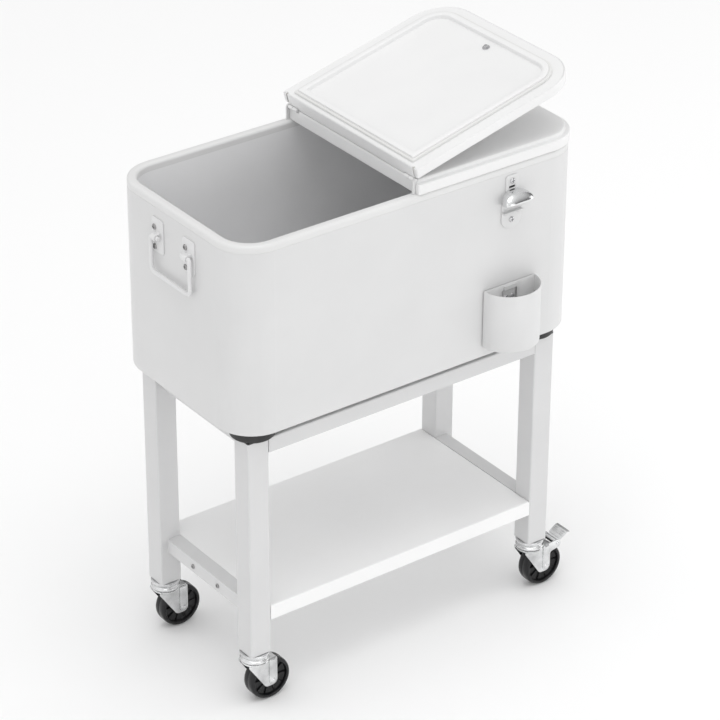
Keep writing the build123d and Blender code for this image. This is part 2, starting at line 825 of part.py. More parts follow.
outer_bulge = hood_bulge(0)
inner_bulge = hood_bulge(hood_sheet)
mouth_spot = (middle_x + fittings_x, middle_y - tub_width / 2 - opener_thickness, hood_mouth)
mouth_plane = Plane(origin=mouth_spot, x_dir=(1, 0, 0), z_dir=(0, 0, 1)).rotated((-hood_mouth_tilt, 0, 0))
with BuildPart() as opener_hood:
    with Locations(facing_front(fittings_x, hood_centre, opener_thickness)):
        add(outer_bulge)
        add(inner_bulge, mode=Mode.SUBTRACT)
    with BuildSketch(mouth_plane):
        Rectangle(2 * hood_width, 4 * (hood_collar + hood_depth))
    extrude(amount=-2 * hood_height, mode=Mode.SUBTRACT)
    with BuildSketch(facing_front(fittings_x, hood_centre, opener_thickness)):
        Rectangle(2 * hood_width, 4 * hood_height)
    extrude(amount=-2 * hood_depth, mode=Mode.SUBTRACT)
write(opener_hood, "opener_hood")


# Cap catcher and the hook it hangs on

catcher_out = hook_sheet + catcher_gap
with BuildPart() as cap_catcher:
    catcher_base = level(tub_bottom + catcher_floor, fittings_x, -tub_width / 2 - catcher_out)
    with BuildSketch(catcher_base):
        Ellipse(catcher_width / 2, catcher_depth)
        with Locations((0, catcher_depth)):
            Rectangle(2 * catcher_width, 2 * catcher_depth, mode=Mode.SUBTRACT)
    extrude(amount=catcher_height)
    underside = cap_catcher.faces().sort_by(Axis.Z)[0]
    fillet(underside.edges().filter_by(GeomType.ELLIPSE), catcher_edge_radius)
    with BuildSketch(catcher_base.offset(catcher_sheet)):
        Ellipse(catcher_width / 2 - catcher_sheet, catcher_depth - catcher_sheet)
        with Locations((0, catcher_depth - catcher_sheet)):
            Rectangle(2 * catcher_width, 2 * catcher_depth, mode=Mode.SUBTRACT)
    extrude(amount=catcher_height, mode=Mode.SUBTRACT)
    window_level = catcher_top - catcher_strip - window_height / 2
    with BuildSketch(facing_front(fittings_x, window_level, catcher_out)):
        Rectangle(window_width, window_height)
    extrude(amount=2 * catcher_sheet, both=True, mode=Mode.SUBTRACT)
write(cap_catcher, "cap_catcher")

lip_out = catcher_out + catcher_sheet + catcher_gap
with BuildPart() as catcher_bracket:
    leaf_top = tongue_top + hook_lip
    with BuildSketch(facing_front(fittings_x, leaf_top - (hook_leaf + hook_lip) / 2)):
        Rectangle(hook_width, hook_leaf + hook_lip)
    extrude(amount=hook_sheet)
    with BuildSketch(facing_front(fittings_x, tongue_top - hook_sheet / 2)):
        Rectangle(hook_width, hook_sheet)
    extrude(amount=lip_out + hook_sheet)
    with BuildSketch(facing_front(fittings_x, tongue_top + hook_lip / 2, lip_out)):
        Rectangle(hook_width, hook_lip)
    extrude(amount=hook_sheet)
    with Locations(hook_screws_at.offset(hook_sheet)):
        with Locations(*hook_screw_spots):
            Hole(wall_screw_shank / 2 + hole_clearance, depth=hook_sheet)
write(catcher_bracket, "catcher_bracket")

wall_screw = screw(
    wall_screw_head,
    wall_screw_head_height,
    wall_screw_shank,
    wall_screw_length,
    screw_tip,
)
with BuildPart() as front_screws:
    with Locations(opener_screws_at.offset(opener_thickness)):
        with Locations(*opener_screw_spots):
            add(wall_screw)
    with Locations(hook_screws_at.offset(hook_sheet)):
        with Locations(*hook_screw_spots):
            add(wall_screw)
write(front_screws, "front_screws")


# Bail handles on both ends

bridge_radius = bail_wire / 2 + bail_clearance + bridge_wall
for side_name, side in sides.items():
    end_face = facing_end(side, bail_level)
    across = Plane(
        origin=end_face.origin,
        x_dir=end_face.z_dir,
        z_dir=end_face.x_dir,
    )
    with BuildPart() as brackets:
        with BuildSketch(end_face):
            with Locations(*bracket_places):
                RectangleRounded(bracket_width, bracket_height, bracket_corner_radius)
        extrude(amount=bracket_thickness)
        for place, _ in bracket_places:
            with BuildSketch(across.offset(place + bridge_offset)):
                with Locations((bail_standoff, 0)):
                    Circle(bridge_radius)
                with Locations((bail_standoff / 2, 0)):
                    Rectangle(bail_standoff, 2 * bridge_radius)
            extrude(amount=bridge_length / 2, both=True)
        with BuildSketch(across):
            with Locations((bail_standoff, 0)):
                Circle(bail_wire / 2 + bail_clearance)
        extrude(amount=bracket_spacing, both=True, mode=Mode.SUBTRACT)
        with Locations(facing_end(side, bail_level, bracket_thickness)):
            with Locations(*handle_screw_spots):
                Hole(wall_screw_shank / 2 + hole_clearance, depth=bracket_thickness)
    write(brackets, f"handle_brackets_{side_name}")

    with BuildPart() as bail:
        wire_plane = facing_end(side, bail_level, bail_standoff)
        with BuildLine(wire_plane) as path:
            FilletPolyline(
                (bail_end - bail_arm_back, 0),
                (-bail_arm_back, 0),
                (-bail_arm_back, -bail_drop),
                (bail_arm_front, -bail_drop),
                (bail_arm_front, 0),
                (bail_arm_front - bail_end, 0),
                radius=[bail_top_radius, bail_bend_radius, bail_bend_radius, bail_top_radius],
            )
        with BuildSketch(Plane(origin=path.line @ 0, z_dir=path.line % 0)):
            Circle(bail_wire / 2)
        sweep(path=path.line)
    write(bail, f"bail_{side_name}")

with BuildPart() as handle_screws:
    for side in sides.values():
        with Locations(facing_end(side, bail_level, bracket_thickness)):
            with Locations(*handle_screw_spots):
                add(wall_screw)
write(handle_screws, "handle_screws")


# Lids

def lid_plan(side, inset, hinge_inset):
    """A lid's plan, drawn in from its free edges and from the hinge line."""
    length = tub_length + 2 * (lid_overhang - inset)
    width = tub_width + 2 * (lid_overhang - inset)
    hinge_edge = side * (lid_middle_gap / 2 + hinge_inset)
    with BuildSketch() as plan:
        RectangleRounded(length, width, tub_corner_radius + lid_overhang - inset)
        with Locations((hinge_edge - side * length / 2, 0)):
            Rectangle(length, 2 * width, mode=Mode.SUBTRACT)
        near = plan.vertices().sort_by_distance((hinge_edge, 0))
        fillet(near.filter_by(lambda spot: abs(spot.X - hinge_edge) < seat_gap), lid_hinge_corner)
    return plan.sketch


def lid_block(side, inset, edges_rounded):
    """A solid lid, drawn in by an inset on all faces but the bottom."""
    foot_step = seat_gap if edges_rounded else 0
    foot = lid_plan(side, inset, inset + foot_step)
    crown = lid_plan(side, plateau_inset + inset, inset)
    with BuildPart() as block:
        with BuildSketch(level(lid_bottom)):
            add(foot)
        extrude(amount=skirt_height - inset)
        if edges_rounded:
            fillet(block.faces().sort_by(Axis.Z)[-1].edges(), lid_edge_radius)
        with BuildSketch(level(lid_bottom)):
            add(crown)
        extrude(amount=skirt_height + plateau_rise - inset)
        if edges_rounded:
            fillet(block.faces().sort_by(Axis.Z)[-1].edges(), plateau_edge_radius)
    return block.part


pin_reach = hinge_bracket_thickness / 2 + knuckle_gap + 2 * (knuckle_length + knuckle_gap)
relief_radius = knuckle_diameter / 2 + knuckle_relief
slot_half = hinge_bracket_width / 2 + hinge_slot_gap
slot_width = hinge_bracket_thickness + 2 * hinge_slot_gap


def hinge_axis_plane(depth):
    """Plane across the hinge axis at a hinge bracket, its normal towards the middle."""
    place = (middle_x, middle_y + depth * hinge_y, hinge_height)
    return Plane(origin=place, x_dir=(depth, 0, 0), z_dir=(0, -depth, 0))


# Room in both lids for the hinge brackets and all the knuckles
with BuildPart() as hinge_relief:
    for depth in (-1, 1):
        with BuildSketch(hinge_axis_plane(depth).offset(-slot_width / 2)):
            Circle(relief_radius)
        extrude(amount=slot_width / 2 + pin_reach + knuckle_gap)
        with BuildSketch(level(hinge_height, 0, depth * hinge_y)):
            Rectangle(2 * slot_half, slot_width)
        extrude(amount=2 * (hinge_height - lid_bottom), both=True)

# Each bracket carries its own riveted pin
with BuildPart() as hinge_brackets:
    for depth in (-1, 1):
        head_plane = hinge_axis_plane(depth).offset(-hinge_bracket_thickness / 2)
        with BuildSketch(hinge_axis_plane(depth)):
            Circle(knuckle_diameter / 2)
            drop = hinge_height - tub_top + hinge_bracket_tang
            with Locations((0, -drop / 2)):
                Rectangle(hinge_bracket_width, drop)
        extrude(amount=hinge_bracket_thickness / 2, both=True)
        with BuildSketch(head_plane):
            Circle(hinge_pin_head / 2)
        extrude(amount=-hinge_pin_head_length)
        with BuildSketch(head_plane):
            Circle(hinge_pin_diameter / 2)
        extrude(amount=hinge_bracket_thickness / 2 + pin_reach)
write(hinge_brackets, "hinge_brackets")

hinge_line = Axis((middle_x, middle_y, hinge_height), (0, 1, 0))
pull_cup = cup(pull_radius, pull_collar, pull_sheet)
pull_screw_x = pull_place + pull_screw_offset
lid_thickness = hinge_height - lid_bottom
lid_screw_length = pull_tab_thickness + lid_thickness + washer_thickness + nut_height
lid_screw = screw(
    lid_screw_head,
    lid_screw_head_height,
    lid_screw_shank,
    lid_screw_length,
    plug_chamfer,
)
for side_name, side in sides.items():
    block = lid_block(side, 0, True)
    cavity = lid_block(side, lid_skin, False)
    panel_plan = lid_plan(side, lid_skin, lid_skin)
    lip_outer = lid_plan(side, lid_lip_inset, lid_lip_hinge_inset)
    lip_inner = lid_plan(side, lid_lip_inset + lid_lip_width, lid_lip_hinge_inset + lid_lip_width)
    gasket_outer = lid_plan(side, lid_lip_inset - gasket_width, lid_lip_hinge_inset - gasket_width)
    knuckle_start = hinge_bracket_thickness / 2 + knuckle_gap
    if side < 0:
        knuckle_start = knuckle_start + knuckle_length + knuckle_gap
    screw_spot = level(hinge_height, side * pull_screw_x)

    with BuildPart() as skin:
        add(block)
        add(cavity, mode=Mode.SUBTRACT)
        add(hinge_relief.part, mode=Mode.SUBTRACT)
        for depth in (-1, 1):
            start_plane = hinge_axis_plane(depth).offset(knuckle_start)
            with BuildSketch(start_plane):
                Circle(knuckle_diameter / 2)
                with Locations((side * depth * relief_radius / 2, -lid_skin / 2)):
                    Rectangle(relief_radius + lid_skin, lid_skin)
                Circle(hinge_pin_diameter / 2 + running_clearance, mode=Mode.SUBTRACT)
            extrude(amount=knuckle_length)
        with Locations(screw_spot):
            Hole(lid_screw_shank / 2 + hole_clearance, depth=lid_thickness)

    with BuildPart() as foam:
        add(cavity)
        add(hinge_relief.part, mode=Mode.SUBTRACT)
        with BuildSketch(level(lid_bottom)):
            Rectangle(2 * tub_length, 2 * tub_width)
        extrude(amount=lid_panel, mode=Mode.SUBTRACT)
        with Locations(screw_spot):
            Hole(lid_screw_shank / 2 + hole_clearance, depth=lid_thickness)

    with BuildPart() as panel:
        with BuildSketch(level(lid_bottom)):
            add(panel_plan)
        extrude(amount=lid_panel)
        add(hinge_relief.part, mode=Mode.SUBTRACT)
        with Locations(screw_spot):
            Hole(lid_screw_shank / 2 + hole_clearance, depth=2 * lid_thickness)

    with BuildPart() as lip:
        with BuildSketch(level(lid_bottom)):
            add(lip_outer)
            add(lip_inner, mode=Mode.SUBTRACT)
        extrude(amount=-lid_lip_depth)
        fillet(lip.faces().sort_by(Axis.Z)[0].edges(), lid_lip_radius)

    with BuildPart() as gasket:
        with BuildSketch(level(lid_bottom)):
            add(gasket_outer)
            add(lip_outer, mode=Mode.SUBTRACT)
        extrude(amount=-gasket_height)
        fillet(gasket.faces().sort_by(Axis.Z)[0].edges(), lid_lip_radius / 2)

    with BuildPart() as pull:
        foot_place = (middle_x + side * pull_place, middle_y, hinge_height)
        with Locations(Plane(origin=foot_place, x_dir=(0, side, 0), z_dir=(0, 0, 1))):
            add(pull_cup)
        tab_x = side * (pull_place + pull_tab_length / 2 - pull_sheet)
        with BuildSketch(level(hinge_height, tab_x)):
            Rectangle(pull_tab_length, pull_tab_width)
        extrude(amount=pull_tab_thickness)
        with BuildSketch(level(hinge_height, side * pull_place)):
            Circle(pull_radius - pull_sheet / 2)
            with Locations((side * pull_radius, 0)):
                Rectangle(2 * pull_radius, 2 * pull_radius, mode=Mode.SUBTRACT)
        extrude(amount=pull_tab_thickness)
        with Locations(level(hinge_height + pull_tab_thickness, side * pull_screw_x)):
            Hole(lid_screw_shank / 2 + hole_clearance, depth=pull_tab_thickness)

    with BuildPart() as pull_screw:
        with Locations(level(hinge_height + pull_tab_thickness, side * pull_screw_x)):
            add(lid_screw)
        with BuildSketch(level(lid_bottom, side * pull_screw_x)):
            Circle(washer_diameter / 2)
        extrude(amount=-washer_thickness)
        with BuildSketch(level(lid_bottom - washer_thickness, side * pull_screw_x)):
            RegularPolygon(nut_width / 2, 6)
        extrude(amount=-nut_height)

    made = {
        "lid_skin": skin,
        "lid_foam": foam,
        "lid_liner": panel,
        "lid_lip": lip,
        "lid_gasket": gasket,
        "lid_pull": pull,
        "lid_pull_screw": pull_screw,
    }
    for kind, closed in made.items():
        with BuildPart() as placed:
            if side < 0:
                add(closed.part.rotate(hinge_line, lid_open_angle))
            else:
                add(closed.part)
        write(placed, f"{kind}_{side_name}")
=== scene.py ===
import json
import math

import bmesh
import bpy
from mathutils import Matrix, Vector


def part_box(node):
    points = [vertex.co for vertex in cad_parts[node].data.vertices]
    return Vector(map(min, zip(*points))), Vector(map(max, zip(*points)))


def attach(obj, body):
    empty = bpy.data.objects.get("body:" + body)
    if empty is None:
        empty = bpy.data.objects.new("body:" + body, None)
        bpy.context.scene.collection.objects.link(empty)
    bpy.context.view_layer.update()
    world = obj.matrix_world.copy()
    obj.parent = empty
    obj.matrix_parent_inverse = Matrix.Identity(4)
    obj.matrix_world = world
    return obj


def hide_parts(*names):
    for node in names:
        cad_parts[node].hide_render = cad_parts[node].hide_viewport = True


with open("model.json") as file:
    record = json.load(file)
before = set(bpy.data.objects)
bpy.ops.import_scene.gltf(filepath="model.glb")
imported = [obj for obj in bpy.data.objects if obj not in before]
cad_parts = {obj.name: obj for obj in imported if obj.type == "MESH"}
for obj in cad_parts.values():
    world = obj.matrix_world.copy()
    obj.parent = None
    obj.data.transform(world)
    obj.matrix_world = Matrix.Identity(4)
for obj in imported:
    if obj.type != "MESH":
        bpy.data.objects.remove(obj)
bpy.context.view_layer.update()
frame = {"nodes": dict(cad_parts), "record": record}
nodes = frame["nodes"]

# Sizes in millimetres, as the cooler's maker would give them. x and y run from the
# middle of the tub, z from the floor. The frame itself is in metres.
TUB_LENGTH = 750
TUB_WIDTH = 394
TUB_CORNER = 72
TUB_TOP = 953
WALL_TOP = 939
WALL = 18.4
LEG_X = 321
LEG_Y = 147
HINGE_Z = 979
HINGE_Y = 187.8
FITTINGS_X = 208

shell_low, shell_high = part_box("tub_shell")
tub_middle = (shell_low + shell_high) / 2
INTO_FRAME = Matrix.Translation((tub_middle.x, tub_middle.y, 0)) @ Matrix.Scale(0.001, 4)


def spot(x, y, z):
    """A point of the cooler in the frame's metres."""
    return INTO_FRAME @ Vector((x, y, z))


# Forms: corners and faces in millimetres


def lofted(loops, wrap=False, close_start=False, close_end=False):
    """The skin over closed loops of equal count, one after another."""
    count = len(loops[0])
    corners = [Vector(p) for loop in loops for p in loop]
    faces = []
    for k in range(len(loops) if wrap else len(loops) - 1):
        a, b = k * count, (k + 1) % len(loops) * count
        faces += [(a + i, a + (i + 1) % count, b + (i + 1) % count, b + i) for i in range(count)]
    if close_start:
        faces.append(tuple(reversed(range(count))))
    if close_end:
        faces.append(tuple(range((len(loops) - 1) * count, len(loops) * count)))
    return corners, faces


def joined(*forms):
    """Several forms as one."""
    corners, faces = [], []
    for more_corners, more_faces in forms:
        start = len(corners)
        corners += [Vector(p) for p in more_corners]
        faces += [tuple(start + i for i in face) for face in more_faces]
    return corners, faces


def moved(form, matrix):
    """A form put elsewhere."""
    return [matrix @ Vector(p) for p in form[0]], form[1]


def slid(form, x=0, y=0, z=0):
    """A form slid along the axes."""
    return moved(form, Matrix.Translation((x, y, z)))


def circle(radius, z, steps):
    """A level ring of points."""
    turns = [2 * math.pi * i / steps for i in range(steps)]
    return [(radius * math.cos(t), radius * math.sin(t), z) for t in turns]


def turned(profile, steps=40):
    """A lathe-turned form about the z axis from (radius, height) pairs."""
    loops = [circle(max(radius, 0.02), z, steps) for radius, z in profile]
    if profile[0] == profile[-1]:
        return lofted(loops[:-1], wrap=True)
    return lofted(loops, close_start=True, close_end=True)


def arc(cx, cy, radius, start, end, steps):
    """Points on an arc in a plane, angles in degrees."""
    span = [math.radians(start + (end - start) * i / steps) for i in range(steps + 1)]
    return [(cx + radius * math.cos(t), cy + radius * math.sin(t)) for t in span]


def rounded(points, radii, steps=6):
    """A closed outline with its corners rounded off."""
    outline = []
    for i, corner in enumerate(points):
        radius = radii[i] if isinstance(radii, (list, tuple)) else radii
        here = Vector(corner)
        back = (Vector(points[i - 1]) - here).normalized()
        ahead = (Vector(points[(i + 1) % len(points)]) - here).normalized()
        if radius <= 0:
            outline.append(tuple(here))
            continue
        half = back.angle(ahead) / 2
        reach = radius / math.tan(half)
        centre = here + (back + ahead).normalized() * (radius / math.sin(half))
        first, last = here + back * reach - centre, here + ahead * reach - centre
        swing = first.angle_signed(last)
        for k in range(steps + 1):
            t = -swing * k / steps
            c, s = math.cos(t), math.sin(t)
            x = centre.x + first.x * c - first.y * s
            y = centre.y + first.x * s + first.y * c
            outline.append((x, y))
    return outline


def oblong(width, height, radius, cx=0, cy=0, steps=6):
    """A rounded rectangle's outline."""
    w, h = width / 2, height / 2
    box = [(cx - w, cy - h), (cx + w, cy - h), (cx + w, cy + h), (cx - w, cy + h)]
    return rounded(box, radius, steps)


def ring(radius, cx=0, cy=0, steps=24):
    """A round outline."""
    return arc(cx, cy, radius, 0, 360 - 360 / steps, steps - 1)


def stamped(outline, holes, thickness, edge=0.3):
    """A plate cut from sheet with holes and softened edges, lying on z = 0."""
    drawing = bpy.data.curves.new("drawing", "CURVE")
    drawing.dimensions = "2D"
    drawing.fill_mode = "BOTH"
    for line in [outline, *holes]:
        spline = drawing.splines.new("POLY")
        spline.points.add(len(line) - 1)
        for point, (x, y) in zip(spline.points, line):
            point.co = (x, y, 0, 1)
        spline.use_cyclic_u = True
    drawing.extrude = thickness / 2 - edge
    drawing.bevel_depth = edge
    drawing.bevel_resolution = 1
    drawing.offset = -edge
    holder = bpy.data.objects.new("drawing", drawing)
    bpy.context.scene.collection.objects.link(holder)
    mesh = bpy.data.meshes.new_from_object(holder)
    corners = [v.co + Vector((0, 0, thickness / 2)) for v in mesh.vertices]
    faces = [tuple(p.vertices) for p in mesh.polygons]
    bpy.data.objects.remove(holder)
    bpy.data.curves.remove(drawing)
    bpy.data.meshes.remove(mesh)
    return corners, faces


def block(width, depth, height, edge=0.6, steps=2):
    """A box with softened edges, centred on x and y, standing on z = 0."""
    work = bmesh.new()
    bmesh.ops.create_cube(work, size=1)
    bmesh.ops.scale(work, verts=work.verts, vec=(width, depth, height))
    bmesh.ops.translate(work, verts=work.verts, vec=(0, 0, height / 2))
    sharp = work.edges[:]
    bmesh.ops.bevel(work, geom=sharp, offset=edge, segments=steps, profile=0.5, affect="EDGES")
    work.verts.ensure_lookup_table()
    form = [v.co.copy() for v in work.verts], [tuple(v.index for v in f.verts) for f in work.faces]
    work.free()
    return form


def wire(points, radius, sides=16, end_round=0.4):
    """A round wire along a path, its ends a little rounded."""
    path = [Vector(p) for p in points]
    lead = (path[1] - path[0]).normalized()
    across = lead.orthogonal().normalized()
    loops = []
    for i, p in enumerate(path):
        ahead = (path[min(i + 1, len(path) - 1)] - path[max(i - 1, 0)]).normalized()
        across = (across - ahead * across.dot(ahead)).normalized()
        other = ahead.cross(across)
        angles = [2 * math.pi * k / sides for k in range(sides)]
        loops.append([(across * math.cos(a) + other * math.sin(a), p, ahead) for a in angles])
    rings = [[p + d * radius for d, p, _ in loop] for loop in loops]
    first = [p + d * (radius - end_round) - t * end_round for d, p, t in loops[0]]
    last = [p + d * (radius - end_round) + t * end_round for d, p, t in loops[-1]]
    return lofted([first, *rings, last], close_start=True, close_end=True)


def mesh_of(form):
    """A mesh in millimetres with its faces looking outward."""
    mesh = bpy.data.meshes.new("form")
    mesh.from_pydata([tuple(p) for p in form[0]], [], form[1])
    work = bmesh.new()
    work.from_mesh(mesh)
    bmesh.ops.remove_doubles(work, verts=work.verts, dist=0.001)
    bmesh.ops.recalc_face_normals(work, faces=work.faces)
    work.to_mesh(mesh)
    work.free()
    return mesh


def carved(form, *cutters):
    """A form with others cut out of it."""
    body = bpy.data.objects.new("body", mesh_of(form))
    tool = bpy.data.objects.new("tool", mesh_of(joined(*cutters)))
    for thing in (body, tool):
        bpy.context.scene.collection.objects.link(thing)
    cut = body.modifiers.new("cut", "BOOLEAN")
    cut.operation = "DIFFERENCE"
    cut.solver = "EXACT"
    cut.use_self = True
    cut.object = tool
    bpy.context.view_layer.update()
    shaped = body.evaluated_get(bpy.context.evaluated_depsgraph_get()).to_mesh()
    result = [v.co.copy() for v in shaped.vertices], [tuple(p.vertices) for p in shaped.polygons]
    for thing in (body, tool):
        mesh = thing.data
        bpy.data.objects.remove(thing)
        bpy.data.meshes.remove(mesh)
    return result


def piece(name, form, finish, body, stands_for=(), crease=38):
    """Puts a form into the scene as a piece that rides on a body of the frame."""
    mesh = mesh_of(form)
    mesh.name = name
    mesh.transform(INTO_FRAME)
    mesh.polygons.foreach_set("use_smooth", [True] * len(mesh.polygons))
    mesh.set_sharp_from_angle(angle=math.radians(crease))
    mesh.materials.append(finish)
    made = bpy.data.objects.new(name, mesh)
    bpy.context.scene.collection.objects.link(made)
    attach(made, body)
    if stands_for:
        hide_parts(*stands_for)
    return made


def on_front(x, z, out=0):
    """Onto the tub's front face: right, up and outward."""
    place = Matrix.Translation((x, -TUB_WIDTH / 2 - out, z))
    return place @ Matrix(((1, 0, 0), (0, 0, -1), (0, 1, 0))).to_4x4()


def on_end(side, z, out=0):
    """Onto the tub's left (-1) or right (1) end as it is seen from outside."""
    place = Matrix.Translation((side * (TUB_LENGTH / 2 + out), 0, z))
    return place @ Matrix(((0, 0, side), (side, 0, 0), (0, 1, 0))).to_4x4()


def along_y(x, y, z):
    """A turned form's axis laid along y."""
    return Matrix.Translation((x, y, z)) @ Matrix.Rotation(math.radians(-90), 4, "X")


# Finishes


def shared_group(name, takes, gives):
    """A new shader node group with its sockets; takes and gives map names to socket types."""
    tree = bpy.data.node_groups.new(name, "ShaderNodeTree")
    for label, kind in takes.items():
        tree.interface.new_socket(name=label, in_out="INPUT", socket_type="NodeSocket" + kind)
    for label, kind in gives.items():
        tree.interface.new_socket(name=label, in_out="OUTPUT", socket_type="NodeSocket" + kind)
    return tree, tree.nodes.new("NodeGroupInput"), tree.nodes.new("NodeGroupOutput")


def node(tree, kind, settings=None, **inputs):
    """A node with its settings, its inputs linked to sockets or set to values."""
    made = tree.nodes.new("ShaderNode" + kind)
    for key, value in (settings or {}).items():
        setattr(made, key, value)
    for key, value in inputs.items():
        by_number = key[0] == "n" and key[1:].isdigit()
        socket = made.inputs[int(key[1:]) if by_number else key.replace("_", " ")]
        if isinstance(value, bpy.types.NodeSocket):
            tree.links.new(value, socket)
        else:
            socket.default_value = value
    return made


def maths(tree, operation, a, b=0.0, clamp=False):
    """One sum of two numbers or sockets."""
    return node(tree, "Math", {"operation": operation, "use_clamp": clamp}, n0=a, n1=b).outputs[0]


def along(tree, direction, other):
    """How far two directions agree, from -1 to 1."""
    made = node(tree, "VectorMath", {"operation": "DOT_PRODUCT"}, n0=direction, n1=other)
    return made.outputs["Value"]


def spread(tree, value, low, high, to_low=0.0, to_high=1.0):
    """A value stretched from one range onto another, kept inside it."""
    ends = dict(From_Min=low, From_Max=high, To_Min=to_low, To_Max=to_high)
    return node(tree, "MapRange", None, Value=value, **ends).outputs[0]


def noise(tree, place, scale, detail=3.0, rough=0.55):
    """Cloudy noise at a scale per metre."""
    made = node(tree, "TexNoise", None, Vector=place, Scale=scale, Detail=detail, Roughness=rough)
    return made.outputs[0]


def blended(tree, share, first, second):
    """A colour between two, by a share."""
    return node(tree, "Mix", {"data_type": "RGBA"}, n0=share, n6=first, n7=second).outputs[2]


# Sprayed coats and moulded skins: a fine dimpled relief
relief, given, sent = shared_group(
    "dimpled_relief",
    {"Dimple Scale": "Float", "Height": "Float", "Waviness": "Float"},
    {"Normal": "Vector"},
)
where = node(relief, "TexCoord").outputs["Object"]
fine = noise(relief, where, given.outputs["Dimple Scale"], 2.0, 0.5)
slow = noise(relief, where, 9.0, 1.0)
summed = maths(relief, "ADD", fine, maths(relief, "MULTIPLY", slow, given.outputs["Waviness"]))
bump = node(relief, "Bump", None, Height=summed, Strength=1.0, Distance=given.outputs["Height"])
relief.links.new(bump.outputs[0], sent.inputs["Normal"])

# Edges that hands, caps and the floor have rubbed; on the zinc the same mask paints dark edge
# lines, which are painted edge shade
EDGE_REACH = 0.0012
edge_wear_and_shade_group, given, sent = shared_group(
    "rubbed_and_shaded_edges", {"Amount": "Float", "Patch Scale": "Float"}, {"Mask": "Float"}
)
where = node(edge_wear_and_shade_group, "TexCoord").outputs["Object"]
softened = node(edge_wear_and_shade_group, "Bevel", {"samples": 3}, Radius=EDGE_REACH).outputs[0]
plain = node(edge_wear_and_shade_group, "NewGeometry").outputs["Normal"]
alike = along(edge_wear_and_shade_group, softened, plain)
sharp = spread(edge_wear_and_shade_group, maths(edge_wear_and_shade_group, "SUBTRACT", 1.0, alike), 0.02, 0.2)
patches = noise(edge_wear_and_shade_group, where, given.outputs["Patch Scale"], 5.0, 0.7)
worn_and_shaded_edges = maths(edge_wear_and_shade_group, "MULTIPLY", sharp, spread(edge_wear_and_shade_group, patches, 0.42, 0.62))
edge_wear_and_shade_group.links.new(maths(edge_wear_and_shade_group, "MULTIPLY", worn_and_shaded_edges, given.outputs["Amount"]), sent.inputs["Mask"])

# A little dust that lies on what faces up, and less of it on what stands
dust, given, sent = shared_group("settled_dust", {"Amount": "Float"}, {"Mask": "Float"})
where = node(dust, "TexCoord").outputs["Object"]
facing = along(dust, node(dust, "NewGeometry").outputs["Normal"], (0, 0, 1))
lying = spread(dust, facing, 0.2, 1.0, 0.25, 1.0)
clouds = spread(dust, noise(dust, where, 14.0, 6.0, 0.65), 0.45, 0.75)
laid = maths(dust, "MULTIPLY", lying, clouds)
dust.links.new(maths(dust, "MULTIPLY", laid, given.outputs["Amount"]), sent.inputs["Mask"])

# Smears and fine hairline marks that break up a gloss
smears, given, sent = shared_group(
    "smeared_gloss",
    {"Roughness": "Float", "Smear": "Float", "Hairlines": "Float"},
    {"Roughness": "Float"},
)
where = node(smears, "TexCoord").outputs["Object"]
cloud = spread(smears, noise(smears, where, 11.0, 2.0, 0.5), 0.35, 0.75)
drawn = node(smears, "Mapping", None, Vector=where)
drawn.inputs["Scale"].default_value = (60.0, 60.0, 1400.0)
lines = spread(smears, noise(smears, drawn.outputs[0], 1.0, 2.0), 0.58, 0.72)
cloudy = maths(smears, "MULTIPLY", cloud, given.outputs["Smear"])
scratched = maths(smears, "MULTIPLY", lines, given.outputs["Hairlines"])
rougher = maths(smears, "ADD", cloudy, scratched)
gloss = maths(smears, "ADD", rougher, given.outputs["Roughness"], clamp=True)
smears.links.new(gloss, sent.inputs["Roughness"])


DUST = (0.62, 0.6, 0.56)
PATCHES = 160.0


def finish(
    name,
    colour,
    under=None,
    rough=0.4,
    smear=0.05,
    hairlines=0.0,
    dimples=(700.0, 0.000008),
    wave=0.0,
    wear=0.0,
    dusty=0.0,
    mottle_and_sheen=0.02,
    mottle_and_sheen_scale=7.0,
    metal=0.0,
    **shader,
):
    """A material: base colour with mottling, rubbed edges, dust, smeared gloss and fine relief; on
    the zinc the mottling is a painted reflection and the edges carry painted edge shade.
    """
    made = bpy.data.materials.new(name)
    made.use_nodes = True
    tree = made.node_tree
    body = tree.nodes["Principled BSDF"]
    place = node(tree, "TexCoord").outputs["Object"]
    darker = tuple(c * (1 - mottle_and_sheen) for c in colour)
    lighter = tuple(min(1.0, c * (1 + mottle_and_sheen)) for c in colour)
    clouds = spread(tree, noise(tree, place, mottle_and_sheen_scale, 4.0), 0.3, 0.7)
    tone = blended(tree, clouds, (*darker, 1), (*lighter, 1))
    if wear:
        worn_and_shaded_edges = node(tree, "Group", {"node_tree": edge_wear_and_shade_group}, Amount=wear, Patch_Scale=PATCHES)
        tone = blended(tree, worn_and_shaded_edges.outputs["Mask"], tone, (*(under or colour), 1))
    if dusty:
        lain = node(tree, "Group", {"node_tree": dust}, Amount=dusty).outputs["Mask"]
        tone = blended(tree, lain, tone, (*DUST, 1))
    tree.links.new(tone, body.inputs["Base Color"])
    gloss = node(
        tree, "Group", {"node_tree": smears}, Roughness=rough, Smear=smear, Hairlines=hairlines
    )
    tree.links.new(gloss.outputs["Roughness"], body.inputs["Roughness"])
    skin = node(
        tree, "Group", {"node_tree": relief},
        Dimple_Scale=dimples[0], Height=dimples[1], Waviness=wave,
    )
    tree.links.new(skin.outputs["Normal"], body.inputs["Normal"])
    body.inputs["Metallic"].default_value = metal
    for label, value in shader.items():
        body.inputs[label.replace("_", " ")].default_value = value
    return made


